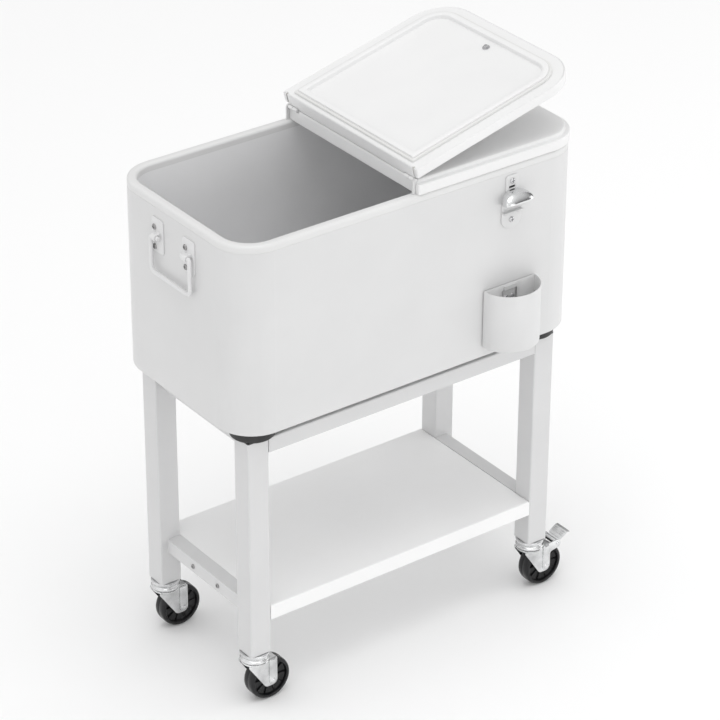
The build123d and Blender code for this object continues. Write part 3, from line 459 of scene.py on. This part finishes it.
STEEL = (0.35, 0.35, 0.36)
painted = dict(under=STEEL, rough=0.33, dimples=(520.0, 0.000006), wave=0.6, wear=0.25, dusty=0.05)
painted.update(Coat_Weight=0.15, Coat_Roughness=0.25)
tub_coat = finish("white_tub_coat", (0.675, 0.675, 0.676), **painted)
# The lids take the tub's paint made lighter: painted light that lifts the lid tops out of the open
# lid's shade
lid_painted_light_coat = finish("white_lid_painted_light_coat", (0.8, 0.8, 0.8), **painted)
framed = dict(under=STEEL, rough=0.4, dimples=(640.0, 0.000008), wear=0.35, dusty=0.08)
cart_coat = finish("white_cart_coat", (0.655, 0.655, 0.658), **framed)
# The shelf takes the frame's paint made lighter: painted light for the light that the shelf gets
# under the tub
shelf_painted_light_coat = finish("white_shelf_painted_light_coat", (0.88, 0.88, 0.88), **framed)
handle_coat = finish(
    "white_handle_coat", (0.73, 0.73, 0.733),
    under=STEEL, rough=0.36, dimples=(700.0, 0.000007), wear=0.5,
)
rim_plastic = finish(
    "white_rim_plastic", (0.72, 0.72, 0.718), rough=0.3, dimples=(300.0, 0.000006), dusty=0.04
)
lid_lining = finish(
    "white_lid_lining", (0.8, 0.8, 0.8),
    rough=0.42, dimples=(900.0, 0.000006), wave=0.3, dusty=0.03,
)
liner_plastic = finish(
    "white_liner_plastic", (0.84, 0.84, 0.845), rough=0.35, dimples=(600.0, 0.000006)
)
gasket_rubber = finish(
    "pale_gasket_rubber", (0.72, 0.72, 0.71), rough=0.62, dimples=(1100.0, 0.00001)
)
foam_core = finish("foam_core", (0.78, 0.76, 0.7), rough=0.95, dimples=(1800.0, 0.0003))
foot_plastic = finish(
    "black_foot_plastic", (0.018, 0.018, 0.018), rough=0.48, dimples=(900.0, 0.00001), dusty=0.12
)
bright_zinc = finish(
    "bright_zinc_plate", (0.74, 0.745, 0.75),
    # Dark edge tone at a high edge amount: painted dark lines standing for the shade and dark
    # reflections at the zinc's edges
    under=(0.2, 0.2, 0.205), rough=0.17, smear=0.08, hairlines=0.05, dimples=(260.0, 0.000012),
    # Strong, fine mottle: patchy light and dark over the zinc, a painted reflection
    metal=1.0, dusty=0.02, wear=0.9, mottle_and_sheen=0.25, mottle_and_sheen_scale=30.0,
)
wheel_plastic = finish(
    "black_wheel_plastic", (0.006, 0.006, 0.007),
    rough=0.25, smear=0.08, dimples=(1300.0, 0.000008), dusty=0.02, Specular_IOR_Level=0.4,
)
dark_screw = finish(
    "dark_screw_steel", (0.36, 0.355, 0.355), under=(0.6, 0.6, 0.6), rough=0.3, wear=0.5, metal=0.8
)
plated_screw = finish(
    "plated_screw_steel", (0.62, 0.62, 0.63), rough=0.2, hairlines=0.15, metal=1.0
)
hood_chrome = finish(
    "satin_chrome", (0.76, 0.765, 0.77),
    rough=0.17, smear=0.06, hairlines=0.05, dimples=(60.0, 0.000008), metal=1.0,
)

slot_finish = {
    "frame_paint": cart_coat,
    "tub_paint": tub_coat,
    "handle_paint": handle_coat,
    "rim_plastic": rim_plastic,
    "liner_plastic": liner_plastic,
    "lid_lining": lid_lining,
    "foam": foam_core,
    "gasket_rubber": gasket_rubber,
    "black_plastic": foot_plastic,
    "caster_zinc": bright_zinc,
    "wheel_plastic": wheel_plastic,
    "dark_screw": dark_screw,
    "screw_chrome": plated_screw,
    "hood_chrome": hood_chrome,
}
for part in frame["record"]["subparts"]:
    mesh = nodes[part["node"]].data
    mesh.materials.clear()
    mesh.materials.append(slot_finish[part["material_slot"]])
# The lower shelf gets the lighter copy of the frame paint, which is painted light
nodes["lower_shelf"].data.materials[0] = shelf_painted_light_coat


# Tub


def tub_loop(inset, z):
    """The tub's plan at a height, drawn in from its walls."""
    plan = oblong(TUB_LENGTH - 2 * inset, TUB_WIDTH - 2 * inset, TUB_CORNER - inset, steps=16)
    return [(x, y, z) for x, y in plan]


RIM_ROUND = 5.5


def rim_profile():
    """Inset and height pairs round the moulded rim, with a fine step above the steel wall."""
    outer = [(0.3, WALL_TOP), (0.3, WALL_TOP + 0.1), (0.1, WALL_TOP + 0.3), (0, WALL_TOP + 0.6)]
    over = arc(RIM_ROUND, TUB_TOP - RIM_ROUND, RIM_ROUND, 180, 90, 6)
    inner = arc(WALL - RIM_ROUND, TUB_TOP - RIM_ROUND, RIM_ROUND, 90, 0, 6)
    return [*outer, *over, *inner, (WALL, WALL_TOP)]


rim = lofted([tub_loop(inset, z) for inset, z in rim_profile()], wrap=True)
piece("rim_bead", rim, rim_plastic, "tub", ["tub_rim"])

# Round feet stand a little inward of the legs; their pegs stand in the legs' middles
FOOT_INSET = 8
FOOT_PROFILE = [
    (0.02, 561.1), (38.2, 561.1), (39.6, 561.5), (40.6, 562.5), (41, 564),
    (41, 580), (40.6, 581.5), (39.6, 582.5), (38.2, 582.9), (0.02, 582.9),
]
PEG_PROFILE = [
    (0.02, 541), (9, 541), (9.6, 541.3), (11.7, 543.4), (12, 544.2), (12, 564), (0.02, 564),
]
foot_pad = turned(FOOT_PROFILE, 72)
peg = turned(PEG_PROFILE, 40)
feet = []
for side in (-1, 1):
    for depth in (-1, 1):
        feet.append(slid(foot_pad, side * (LEG_X - FOOT_INSET), depth * (LEG_Y - FOOT_INSET)))
        feet.append(slid(peg, side * LEG_X, depth * LEG_Y))
piece("foot_pads", joined(*feet), foot_plastic, "tub", ["tub_feet"])


# Lids

LID_OPEN = (
    Matrix.Translation((0, 0, HINGE_Z))
    @ Matrix.Rotation(math.radians(165.8643), 4, "Y")
    @ Matrix.Translation((0, 0, -HINGE_Z))
)


def lid_loop(side, inset, hinge_inset, z):
    """A lid's plan at a height, drawn in from its free edges and from the hinge."""
    near, far, half = 1 + hinge_inset, TUB_LENGTH / 2 + 2 - inset, TUB_WIDTH / 2 + 2 - inset
    box = [(near, -half), (far, -half), (far, half), (near, half)]
    bend = TUB_CORNER + 2 - inset
    return [(side * x, y, z) for x, y in rounded(box, [3, bend, bend, 3], 14)]


def lid_form(side, profile, wrap=False):
    """A form over lid outlines from (inset, hinge inset, height) rows."""
    loops = [lid_loop(side, *row) for row in profile]
    return lofted(loops, wrap=wrap, close_start=not wrap, close_end=not wrap)


# Rows of inset, hinge inset and height
SKIN_PROFILE = [
    (2.0, 2.0, 960.0), (2.0, 2.0, 954.2), (1.4, 1.4, 953.45), (0.8, 0.8, 953.3),
    (0.2, 0.2, 953.7), (0, 0, 954.6), (0, 0, 969.4), (0.25, 0, 970.7), (0.95, 0, 971.7),
    (2.1, 0, 972.2), (3.4, 0, 972.35), (7.2, 0, 972.5), (8.2, 0, 972.9), (8.8, 0, 973.8),
    (9.0, 0, 975.3), (9.27, 0.27, 976.85), (10.05, 1.05, 978.0), (11.2, 2.2, 978.75),
    (12.6, 3.6, 979.0), (20, 11, 979.0), (40, 30, 979.0),
]
LINING_PROFILE = [
    (2.2, 2.2, 955.3), (2.2, 2.2, 954.0), (2.8, 2.8, 953.45), (21.0, 8.6, 953.45),
    (28, 15, 953.4), (28.1, 15.1, 947.0), (28.6, 15.6, 945.9), (29.8, 16.8, 945.35),
    (38, 25, 945.3), (39.2, 26.2, 945.85), (39.8, 26.8, 947.0), (40.1, 27.1, 951.6),
    (40.8, 27.8, 952.9), (42.6, 29.6, 953.4), (64, 52, 953.4),
]
GASKET_PROFILE = [
    (27.9, 14.9, 953.4), (22.7, 9.7, 953.4), (22.4, 9.4, 951.6), (22.8, 9.8, 949.3),
    (24.0, 11.0, 948.4), (26.4, 13.4, 948.4), (27.9, 14.9, 949.0),
]


def hinge_pockets():
    """Room in the lids for the hinge brackets and the knuckles."""
    bore = turned([(5.2, 0), (5.2, 32.5)], 32)
    slot = block(12, 4, 40, 0.3, 1)
    cuts = []
    for depth, start in ((-1, -HINGE_Y - 3), (1, HINGE_Y - 29.5)):
        cuts.append(moved(bore, along_y(0, start, HINGE_Z)))
        cuts.append(slid(slot, 0, depth * HINGE_Y, 945))
    return cuts


def knuckle(side, depth):
    """One rolled knuckle of a lid with the strap that holds it."""
    start = 2.5 if side > 0 else 15.5
    tube = [(2.2, 0), (3.6, 0), (4, 0.4), (4, 11.6), (3.6, 12), (2.2, 12), (2.2, 0)]
    near = depth * (HINGE_Y - start)
    low = min(near, near - depth * 12)
    strap = slid(block(6.6, 12, 1.5, 0.3), side * 2.7, low + 6, HINGE_Z - 1.6)
    return joined(moved(turned(tube, 28), along_y(0, low, HINGE_Z)), strap)


for side_name, side in (("left", -1), ("right", 1)):
    pose = LID_OPEN if side < 0 else Matrix.Identity(4)
    body = f"lid_{side_name}"
    pockets = hinge_pockets()
    pressed = carved(lid_form(side, SKIN_PROFILE), *pockets)
    skin = joined(pressed, knuckle(side, -1), knuckle(side, 1))
    lining = carved(lid_form(side, LINING_PROFILE), *pockets)
    gasket = lid_form(side, GASKET_PROFILE, wrap=True)
    for name, form, coat, slot, stands_for in (
        # The lid tops wear the lighter copy of the tub paint, which is painted light
        ("lid_top", skin, lid_painted_light_coat, "tub_paint", ["lid_skin"]),
        ("lid_inside", lining, lid_lining, "lid_lining", ["lid_liner", "lid_lip"]),
        ("lid_seal", gasket, gasket_rubber, "gasket_rubber", ["lid_gasket"]),
    ):
        covered = [f"{node_name}_{side_name}" for node_name in stands_for]
        piece(f"{name}_{side_name}", moved(form, pose), coat, body, covered)


# Screws


def cross_head(radius, height, cross=3.3, width=1.9, deep=1.9):
    """A pan head with a cross recess, seated on z = 0."""
    dome_shares = [(1, 0), (1, 0.3), (0.94, 0.62), (0.78, 0.88), (0.5, 0.98)]
    dome = [(radius * across, height * up) for across, up in dome_shares]
    head = turned([(0.02, 0), *dome, (0.02, height)], 36)
    arm = block(2 * cross, width, 2 * deep, 0.25, 1)
    down = Matrix.Translation((0, 0, height - deep))
    turn = Matrix.Rotation(math.radians(90), 4, "Z")
    return carved(head, moved(arm, down), moved(arm, down @ turn))


wall_head = cross_head(5.5, 2.7)


# Bottle opener

plate_outline = rounded(
    [(-22, 830), (22, 830), (22, 882), (14, 882), (14, 934), (-14, 934), (-14, 882), (-22, 882)],
    [18.5, 18.5, 1.5, 2, 6, 6, 2, 1.5],
)
slots = [oblong(14, 4.5, 1.6, 0, 911), oblong(34, 4, 1.8, 0, 860.4)]
opener_sheet = moved(stamped(plate_outline, slots, 2.4, 0.6), on_front(FITTINGS_X, 0))
tooth = moved(block(43.6, 2.6, 9.4, 1, 3), on_front(FITTINGS_X, 864))
opener_form = joined(opener_sheet, tooth)
piece("opener_plate_sheet", opener_form, tub_coat, "tub", ["opener_plate"])
# Black strips behind the plate, seen through its slots, are painted shade: they stand for the dark
# of the slots against the wall
painted_shade_strip_outlines = [oblong(13.6, 4.1, 1.4, 0, 911), oblong(33.6, 3.6, 1.6, 0, 860.4)]
painted_shade_strips = joined(*[stamped(outline, [], 0.9, 0.15) for outline in painted_shade_strip_outlines])
painted_shade_strips_in_place = moved(painted_shade_strips, on_front(FITTINGS_X, 0))
piece("opener_slot_painted_shade_strips", painted_shade_strips_in_place, foot_plastic, "tub")

# The hood's ovals from the plate outward: how far out, half width, half height
HOOD_OVALS = [
    (0, 22.4, 17.5), (3, 25.0, 17.8), (7, 27.8, 17.8), (12, 29.8, 17.2), (17, 30.9, 15.8),
    (21, 31.0, 13.9), (24.5, 29.8, 11.3), (27, 27.2, 8.6), (28.8, 23.0, 5.9),
    (29.8, 17.0, 3.6), (30.1, 11.0, 2.2),
]
HOOD_SHEET = 1.7
MOUTH_DROP = 10
MOUTH_RISE = 0.34
SHOULDER = 0.78


def squared(share, power=SHOULDER):
    """A sine or cosine pushed outward, so that an oval gets fuller shoulders."""
    return math.copysign(abs(share) ** power, share)


def hood_arch(out, half, rise, steps=48):
    """The part of an oval above the hood's slanting mouth, from its right foot over to its left."""
    mouth = MOUTH_RISE * out - MOUTH_DROP
    start = math.asin(squared(max(-1, min(1, mouth / rise)), 1 / SHOULDER))
    turns = [start + (math.pi - 2 * start) * i / steps for i in range(steps + 1)]
    return [(half * squared(math.cos(t)), rise * squared(math.sin(t)), out) for t in turns]


def hood_form():
    """The opener's hood: an outer and an inner skin joined round the mouth and at the plate."""
    outer = [hood_arch(*oval) for oval in HOOD_OVALS]
    shrink = 1 - HOOD_SHEET / HOOD_OVALS[-1][0]
    inner = [
        hood_arch(out * shrink, max(half - HOOD_SHEET, 2), max(rise - HOOD_SHEET, 0.9))
        for out, half, rise in HOOD_OVALS
    ]
    count, rows = len(outer[0]), len(outer)
    corners = [p for grid in (outer, inner) for loop in grid for p in loop]
    other = rows * count
    faces = []
    for k in range(rows - 1):
        a, b = k * count, (k + 1) * count
        for i in range(count - 1):
            faces.append((a + i, a + i + 1, b + i + 1, b + i))
            faces.append((other + a + i, other + b + i, other + b + i + 1, other + a + i + 1))
        for edge in (0, count - 1):
            faces.append((a + edge, b + edge, other + b + edge, other + a + edge))
    faces += [(i, other + i, other + i + 1, i + 1) for i in range(count - 1)]
    tip = (rows - 1) * count
    faces.append(tuple(tip + i for i in range(count)))
    faces.append(tuple(other + tip + i for i in reversed(range(count))))
    faces.append((tip, tip + count - 1, other + tip + count - 1, other + tip))
    return corners, faces


hood = moved(hood_form(), on_front(FITTINGS_X, 890, 2.4))
piece("opener_hood_shell", hood, hood_chrome, "tub", ["opener_hood"], 50)


# Cap catcher and its hook


def catcher_loop(inset, z):
    """The catcher's half-oval plan at a height, its flat side towards the tub."""
    across, deep = 58.5 - inset, 56 - inset
    start = math.asin(min(inset / deep, 0.9))
    bowl = [start + (math.pi - 2 * start) * i / 48 for i in range(49)]
    curve = [(across * math.cos(t), -deep * math.sin(t), z) for t in bowl]
    back = [(across * math.cos(start) * (i / 4 - 1), -inset, z) for i in range(1, 8)]
    return curve + back


def put_out(form, x, out, z=0):
    """Stands a form at the front wall, out from it."""
    return moved(form, Matrix.Translation((x, -TUB_WIDTH / 2 - out, z)))


bowl_rows = [
    (3.2, 604.5), (1.6, 604.9), (0.5, 606.0), (0, 607.8), (0, 718.9), (0.35, 719.4), (0.75, 719.5),
    (1.15, 719.4), (1.5, 718.9), (1.5, 608.6), (2.4, 606.6), (4.4, 606.0),
]
bowl = lofted([catcher_loop(inset, z) for inset, z in bowl_rows], close_start=True, close_end=True)
# Upright forms: drawn in x and z, thick along y
UPRIGHT = Matrix(((1, 0, 0), (0, 0, 1), (0, 1, 0))).to_4x4()
window = slid(moved(stamped(oblong(34, 44, 3), [], 8, 0.2), UPRIGHT), 0, -4, 686.5)
bowl_form = put_out(carved(bowl, window), FITTINGS_X, 2.3)
piece("catcher_bowl", bowl_form, tub_coat, "catcher", ["cap_catcher"])


def bent(points, radii, steps=5):
    """An open path with its corners rounded."""
    path = [Vector(points[0])]
    for before, corner, after, radius in zip(points, points[1:], points[2:], radii):
        here = Vector(corner)
        back, ahead = (Vector(before) - here).normalized(), (Vector(after) - here).normalized()
        half = back.angle(ahead) / 2
        reach = radius / math.tan(half)
        centre = here + (back + ahead).normalized() * (radius / math.sin(half))
        first, last = here + back * reach - centre, here + ahead * reach - centre
        for k in range(steps + 1):
            t = k / steps
            path.append(centre + first.lerp(last, t).normalized() * radius)
    return path + [Vector(points[-1])]


def strip(path, thickness, width, edge=0.4):
    """A bent strip of sheet: its path lies in x and y, its width along z."""
    sides = []
    for i, p in enumerate(path):
        ahead = (path[min(i + 1, len(path) - 1)] - path[max(i - 1, 0)]).normalized()
        sides.append((p, Vector((-ahead.y, ahead.x))))
    half = thickness / 2
    loops = []
    end = width / 2
    for w, t in ((-end, half - edge), (edge - end, half), (end - edge, half), (end, half - edge)):
        outline = [p + n * t for p, n in sides] + [p - n * t for p, n in reversed(sides)]
        loops.append([(q.x, q.y, w) for q in outline])
    return lofted(loops, close_start=True, close_end=True)


hook_path = bent([(1, 678.5), (1, 707.2), (5.1, 707.2), (5.1, 716.2)], [1.6, 1.6])
hook = moved(strip(hook_path, 2, 28), Matrix(((0, 0, 1), (-1, 0, 0), (0, 1, 0))).to_4x4())
hook_form = put_out(hook, FITTINGS_X, 0)
piece("catcher_hook", hook_form, tub_coat, "tub", ["catcher_bracket"])

front_heads = [moved(wall_head, on_front(FITTINGS_X, z, 2.4)) for z in (847, 923)]
front_heads += [moved(wall_head, on_front(FITTINGS_X + x, 691.2, 2)) for x in (-7, 7)]
heads_form = joined(*front_heads)
piece("front_screw_heads", heads_form, plated_screw, "tub", ["front_screws"])


# Bail handles

bridge_arc = arc(0, 9, 6.28, 180, 0, 18)
bridge_foot = [(6.45, 3.6), (7.4, 2.5), (9.4, 2.1), (9.6, 1.6)]
bridge_outline = [(-x, y) for x, y in reversed(bridge_foot)] + bridge_arc + bridge_foot
bridge = stamped(bridge_outline, [ring(4.15, 0, 9, 28)], 14, 0.6)
plate = stamped(oblong(36, 66, 6), [], 2, 0.55)
TO_BRIDGE = Matrix(((0, 0, 1), (1, 0, 0), (0, 1, 0))).to_4x4()
for side_name, side in (("left", -1), ("right", 1)):
    face = on_end(side, 888)
    plates = []
    for x in (-48, 48):
        plates.append(moved(slid(plate, x), face))
        plates.append(moved(slid(moved(bridge, TO_BRIDGE), x - 6), face))
    brackets = f"handle_brackets_{side_name}"
    plates_form = joined(*plates)
    piece(f"bail_brackets_{side_name}", plates_form, handle_coat, "tub", [brackets])
    corners = [(-35, 0, 9), (-59, 0, 9), (-59, -69, 9), (61, -69, 9), (61, 0, 9), (37, 0, 9)]
    path = bent(corners, [5, 11, 11, 5], 8)
    wire_form = moved(wire(path, 4, 20, 0.8), face)
    bail = f"bail_{side_name}"
    piece(f"bail_wire_{side_name}", wire_form, handle_coat, bail, [bail])

handle_heads = [
    moved(wall_head, on_end(side, 888 + rise, 2) @ Matrix.Translation((x - 9, 0, 0)))
    for side in (-1, 1)
    for x in (-48, 48)
    for rise in (-24, 14)
]
heads_form = joined(*handle_heads)
piece("handle_screw_heads", heads_form, dark_screw, "tub", ["handle_screws"])


# Casters

CASTER_TRAIL = 26
WHEEL_RADIUS = 42.5
CUP_PROFILE = [
    (0.02, 109.9), (18.5, 109.9), (19.5, 109.6), (20.5, 109.2), (22.5, 109.1), (24.8, 109.3),
    (26.2, 109.3), (27.2, 108.8), (27.5, 107.6), (27.4, 104.6), (26.8, 103.4), (25.6, 102.8),
    (24.7, 102.0), (24.4, 100.0), (24.7, 98.6), (25.7, 97.8), (27.0, 97.0), (27.5, 96.0),
    (27.5, 94.0), (26.9, 92.9), (25.4, 92.5), (5.5, 92.5), (5.5, 87.0), (9, 87.0),
    (9, 82.6), (8.4, 82.0), (0.02, 82.0),
]
cup = turned(CUP_PROFILE, 64)
cups = [slid(cup, sx * LEG_X, sy * LEG_Y) for sx in (-1, 1) for sy in (-1, 1)]
piece("caster_cups", joined(*cups), bright_zinc, "cart", ["caster_stems"], 55)

leaning_edge = [(-23.5, 90), (-23.5, 84.5), (11.8, 31.2), (37.2, 31.2)]
edge_radii = [3, 7, 10.9, 10.9]
brake_arm = [(37.2, 70), (60.5, 74.5), (64, 84), (56, 91.4)]
cheek_outline = rounded([(37.2, 90), *leaning_edge], [3, *edge_radii], 8)
braked_outline = rounded([(37, 90), *leaning_edge, *brake_arm], [1, *edge_radii, 6, 6, 6, 6], 8)
RIB_ROWS = [(0, 0), (0.2, 1.5), (0.6, 2.2), (1.4, 2.8), (2.8, 3.2), (4.6, 3.4)]
RACE_PROFILE = [
    (5.6, 91.2), (21, 91.3), (25.6, 90.9), (26.4, 90.0), (26.4, 88.4), (25.8, 87.4),
    (5.6, 87.3), (5.6, 91.2),
]


def cheek(outline, face):
    """One cheek of a fork with its pressed rib, its inner face 16 mm from the middle."""
    sheet = stamped(outline, [ring(4.2, CASTER_TRAIL, WHEEL_RADIUS)], 2.5, 0.5)
    swell = []
    for inset, rise in RIB_ROWS:
        left, right, low, high = 19 + inset, 33.4 - inset, 34 + inset, 89 - inset
        box = [(left, low), (right, low), (right, high), (left, high)]
        bend = 7.1 - inset
        swell.append([(x, y, rise) for x, y in rounded(box, [bend, bend, 2, 2], 8)])
    rib = lofted(swell, close_start=True, close_end=True)
    flat = moved(sheet, Matrix.Translation((0, 16, 0)) @ UPRIGHT)
    raised = moved(rib, Matrix.Translation((0, 18.2, 0)) @ UPRIGHT)
    return moved(joined(flat, raised), Matrix.Scale(face, 4, (0, 1, 0)))


TYRE_HALF = [
    (4.2, 14.2), (10.3, 14.2), (11, 13.6), (11.2, 8.4), (12.2, 7.6), (33.0, 7.2), (34.2, 8.0),
    (34.7, 13.2), (35.5, 14.2), (37.8, 14.5), (39.9, 13.9), (41.5, 12.3), (42.3, 10.0),
    (42.5, 7.4), (42.5, 0.5),
]
near_half = [(r, -y) for r, y in TYRE_HALF]
tyre_profile = [*near_half, (42.25, 0), *reversed(TYRE_HALF), near_half[0]]


def wheel_form():
    """A moulded wheel about the z axis: tread, rims, hub and ribs."""
    parts = [turned(tyre_profile, 96)]
    spoke = slid(block(24.4, 1.9, 2.8, 0.4, 2), 22.6, 0, 7.1)
    for k in range(10):
        turn = Matrix.Rotation(math.radians(36 * k), 4, "Z")
        parts.append(moved(spoke, turn))
        parts.append(moved(spoke, turn @ Matrix.Scale(-1, 4, (0, 0, 1))))
    return joined(*parts)


RIVET_HEAD = [
    (0.02, 23.6), (2.4, 23.4), (4.0, 22.9), (5.1, 22.1), (5.6, 21.3), (5.6, 21.1), (4, 21.1),
]
wheel = wheel_form()
rivet = turned([*RIVET_HEAD, *[(r, -y) for r, y in reversed(RIVET_HEAD)]], 40)
race = turned(RACE_PROFILE, 64)
bridge_top = slid(block(58, 37, 3.9, 1.4, 3), 6.2, 0, 87.3)
for front_name, sy in (("front", -1), ("back", 1)):
    for side_name, sx in (("left", -1), ("right", 1)):
        corner = f"{front_name}_{side_name}"
        stand = Matrix.Translation((sx * LEG_X, sy * LEG_Y, 0))
        outline = braked_outline if sx > 0 else cheek_outline
        fork = joined(cheek(outline, 1), cheek(outline, -1), bridge_top, race)
        axle_place = stand @ along_y(CASTER_TRAIL, 0, WHEEL_RADIUS)
        for name, form, place, coat, body, slot, stands_for in (
            ("caster_fork_shell", fork, stand, bright_zinc, "caster", "caster_zinc", "caster_fork"),
            ("caster_wheel", wheel, axle_place, wheel_plastic, "wheel", "wheel_plastic", "wheel"),
            ("caster_rivet", rivet, axle_place, bright_zinc, "caster", "caster_zinc", "axle"),
        ):
            shaped = moved(form, place)
            covered = [f"{stands_for}_{corner}"]
            piece(f"{name}_{corner}", shaped, coat, f"{body}_{corner}", covered)


# Brake pedals


def rod(radius, half, narrower, tip, steps):
    """A round bar about the z axis, its full radius up to half, then a narrower tip."""
    end = [(0.02, half + tip), (radius - narrower, half + tip), (radius, half)]
    return turned([(r, -z) for r, z in end] + end[::-1], steps)


def pedal_form():
    """A brake pedal about its pin: treadle with grip ribs, a web down to the hub, shoe and pin."""
    lean = math.radians(34)
    bend = (28 * math.cos(lean), 28 * math.sin(lean))
    start = (8.8 * math.cos(lean), 8.8 * math.sin(lean))
    path = bent([start, bend, (bend[0] + 6, bend[1])], [3])
    treadle = moved(strip(path, 2.4, 36, 0.6), UPRIGHT)
    web = moved(strip([Vector((0, 0)), Vector(start) * 1.1], 2.4, 30.6, 0.4), UPRIGHT)
    grip = block(1.6, 28, 1.0, 0.45, 2)
    tilt = Matrix.Rotation(-lean, 4, "Y")
    grips = []
    for reach in (17, 21, 25):
        place = Matrix.Translation((reach * math.cos(lean), 0, reach * math.sin(lean)))
        grips.append(moved(grip, place @ tilt @ Matrix.Translation((0, 0, 1.0))))
    hub = moved(rod(5.5, 15, 0.3, 0.3, 32), along_y(0, 0, 0))
    pin = moved(rod(3, 20, 0.8, 0.6, 28), along_y(0, 0, 0))
    shoe_lean = math.radians(26 - 90)
    tip = (7 * math.cos(shoe_lean), 7 * math.sin(shoe_lean))
    shoe = moved(strip([Vector((0, 0)), Vector(tip) * 1.1], 4.6, 20, 1.0), UPRIGHT)
    return joined(treadle, web, *grips, hub, pin, shoe)


PEDAL_OUT = 55
PEDAL_Z = 83
pedal = pedal_form()
for front_name, sy in (("front", -1), ("back", 1)):
    treadle_form = slid(pedal, LEG_X + PEDAL_OUT, sy * LEG_Y, PEDAL_Z)
    body = f"pedal_{front_name}_right"
    covered = [f"brake_pedal_{front_name}_right"]
    piece(f"brake_treadle_{front_name}", treadle_form, bright_zinc, body, covered)


# Camera, floor and lamps

PHOTO_WIDTH = 720
PHOTO_FOCAL = 3154.07
camera_data = bpy.data.cameras.new("camera")
camera_data.sensor_width = 36
camera_data.lens = PHOTO_FOCAL / PHOTO_WIDTH * camera_data.sensor_width
camera_data.clip_end = 100
camera = bpy.data.objects.new("camera", camera_data)
bpy.context.scene.collection.objects.link(camera)
bpy.context.scene.camera = camera
camera_right = Vector((0.8049, -0.5934, 0.0034))
camera_up = Vector((0.2898, 0.3981, 0.8704))
camera_ahead = Vector((0.5178, 0.6996, -0.4924))
turn = Matrix((camera_right, camera_up, -camera_ahead)).transposed().to_4x4()
camera.matrix_world = Matrix.Translation(spot(-2975.4, -4051.1, 3381.4)) @ turn


def lamp(name, place, aim, size, power):
    """A square soft lamp that looks at a point, both in metres."""
    data = bpy.data.lights.new(name, "AREA")
    data.shape = "SQUARE"
    data.size = size
    data.energy = power
    made = bpy.data.objects.new(name, data)
    bpy.context.scene.collection.objects.link(made)
    made.location = place
    made.rotation_mode = "QUATERNION"
    made.rotation_quaternion = (Vector(aim) - Vector(place)).to_track_quat("-Z", "Y")
    return made


lamp("lamp_above", (-0.6, -1.2, 8.0), (0, 0, 0.6), 5.0, 150)
lamp("lamp_front", (0.6, -4.6, 1.0), (0, 0, 0.5), 2.6, 22)
lamp("lamp_left", (-4.4, -1.4, 1.2), (0, 0, 0.5), 2.4, 7)
lamp("lamp_right", (4.4, -1.8, 1.5), (0.2, 0, 0.9), 2.4, 26)

world = bpy.data.worlds.new("studio")
bpy.context.scene.world = world
world.use_nodes = True
sky = world.node_tree
sky.nodes.clear()
# The room is even for soft light; shiny things see it fall off from its bright side
way = node(sky, "LightPath")
towards = node(sky, "TexCoord").outputs["Generated"]
bright_side = along(sky, towards, (-0.55, -0.1, 0.83))
shown = spread(sky, bright_side, -0.15, 0.6, 0.1, 1.0)
room = node(sky, "Background", None, Color=(1, 1, 1, 1), Strength=0.87)
mirrored = node(sky, "Background", None, Color=(1, 1, 1, 1), Strength=shown)
backdrop = node(sky, "Background", None, Color=(1, 1, 1, 1), Strength=1.0)
glossy = way.outputs["Is Glossy Ray"]
inside = node(sky, "MixShader", None, n0=glossy, n1=room.outputs[0], n2=mirrored.outputs[0])
seen = maths(sky, "MAXIMUM", way.outputs["Is Camera Ray"], way.outputs["Is Transmission Ray"])
both = node(sky, "MixShader", None, n0=seen, n1=inside.outputs[0], n2=backdrop.outputs[0])
sky.links.new(both.outputs[0], node(sky, "OutputWorld").inputs["Surface"])

floor_mesh = bpy.data.meshes.new("floor")
floor_mesh.from_pydata([(-30, -30, 0), (30, -30, 0), (30, 30, 0), (-30, 30, 0)], [], [(0, 1, 2, 3)])
floor = bpy.data.objects.new("floor", floor_mesh)
bpy.context.scene.collection.objects.link(floor)
floor_finish = bpy.data.materials.new("pale_floor")
floor_finish.use_nodes = True
floor_shader = floor_finish.node_tree.nodes["Principled BSDF"]
floor_shader.inputs["Base Color"].default_value = (0.92, 0.92, 0.92, 1)
floor_shader.inputs["Roughness"].default_value = 0.9
floor_mesh.materials.append(floor_finish)
bpy.context.scene.view_settings.view_transform = "Standard"
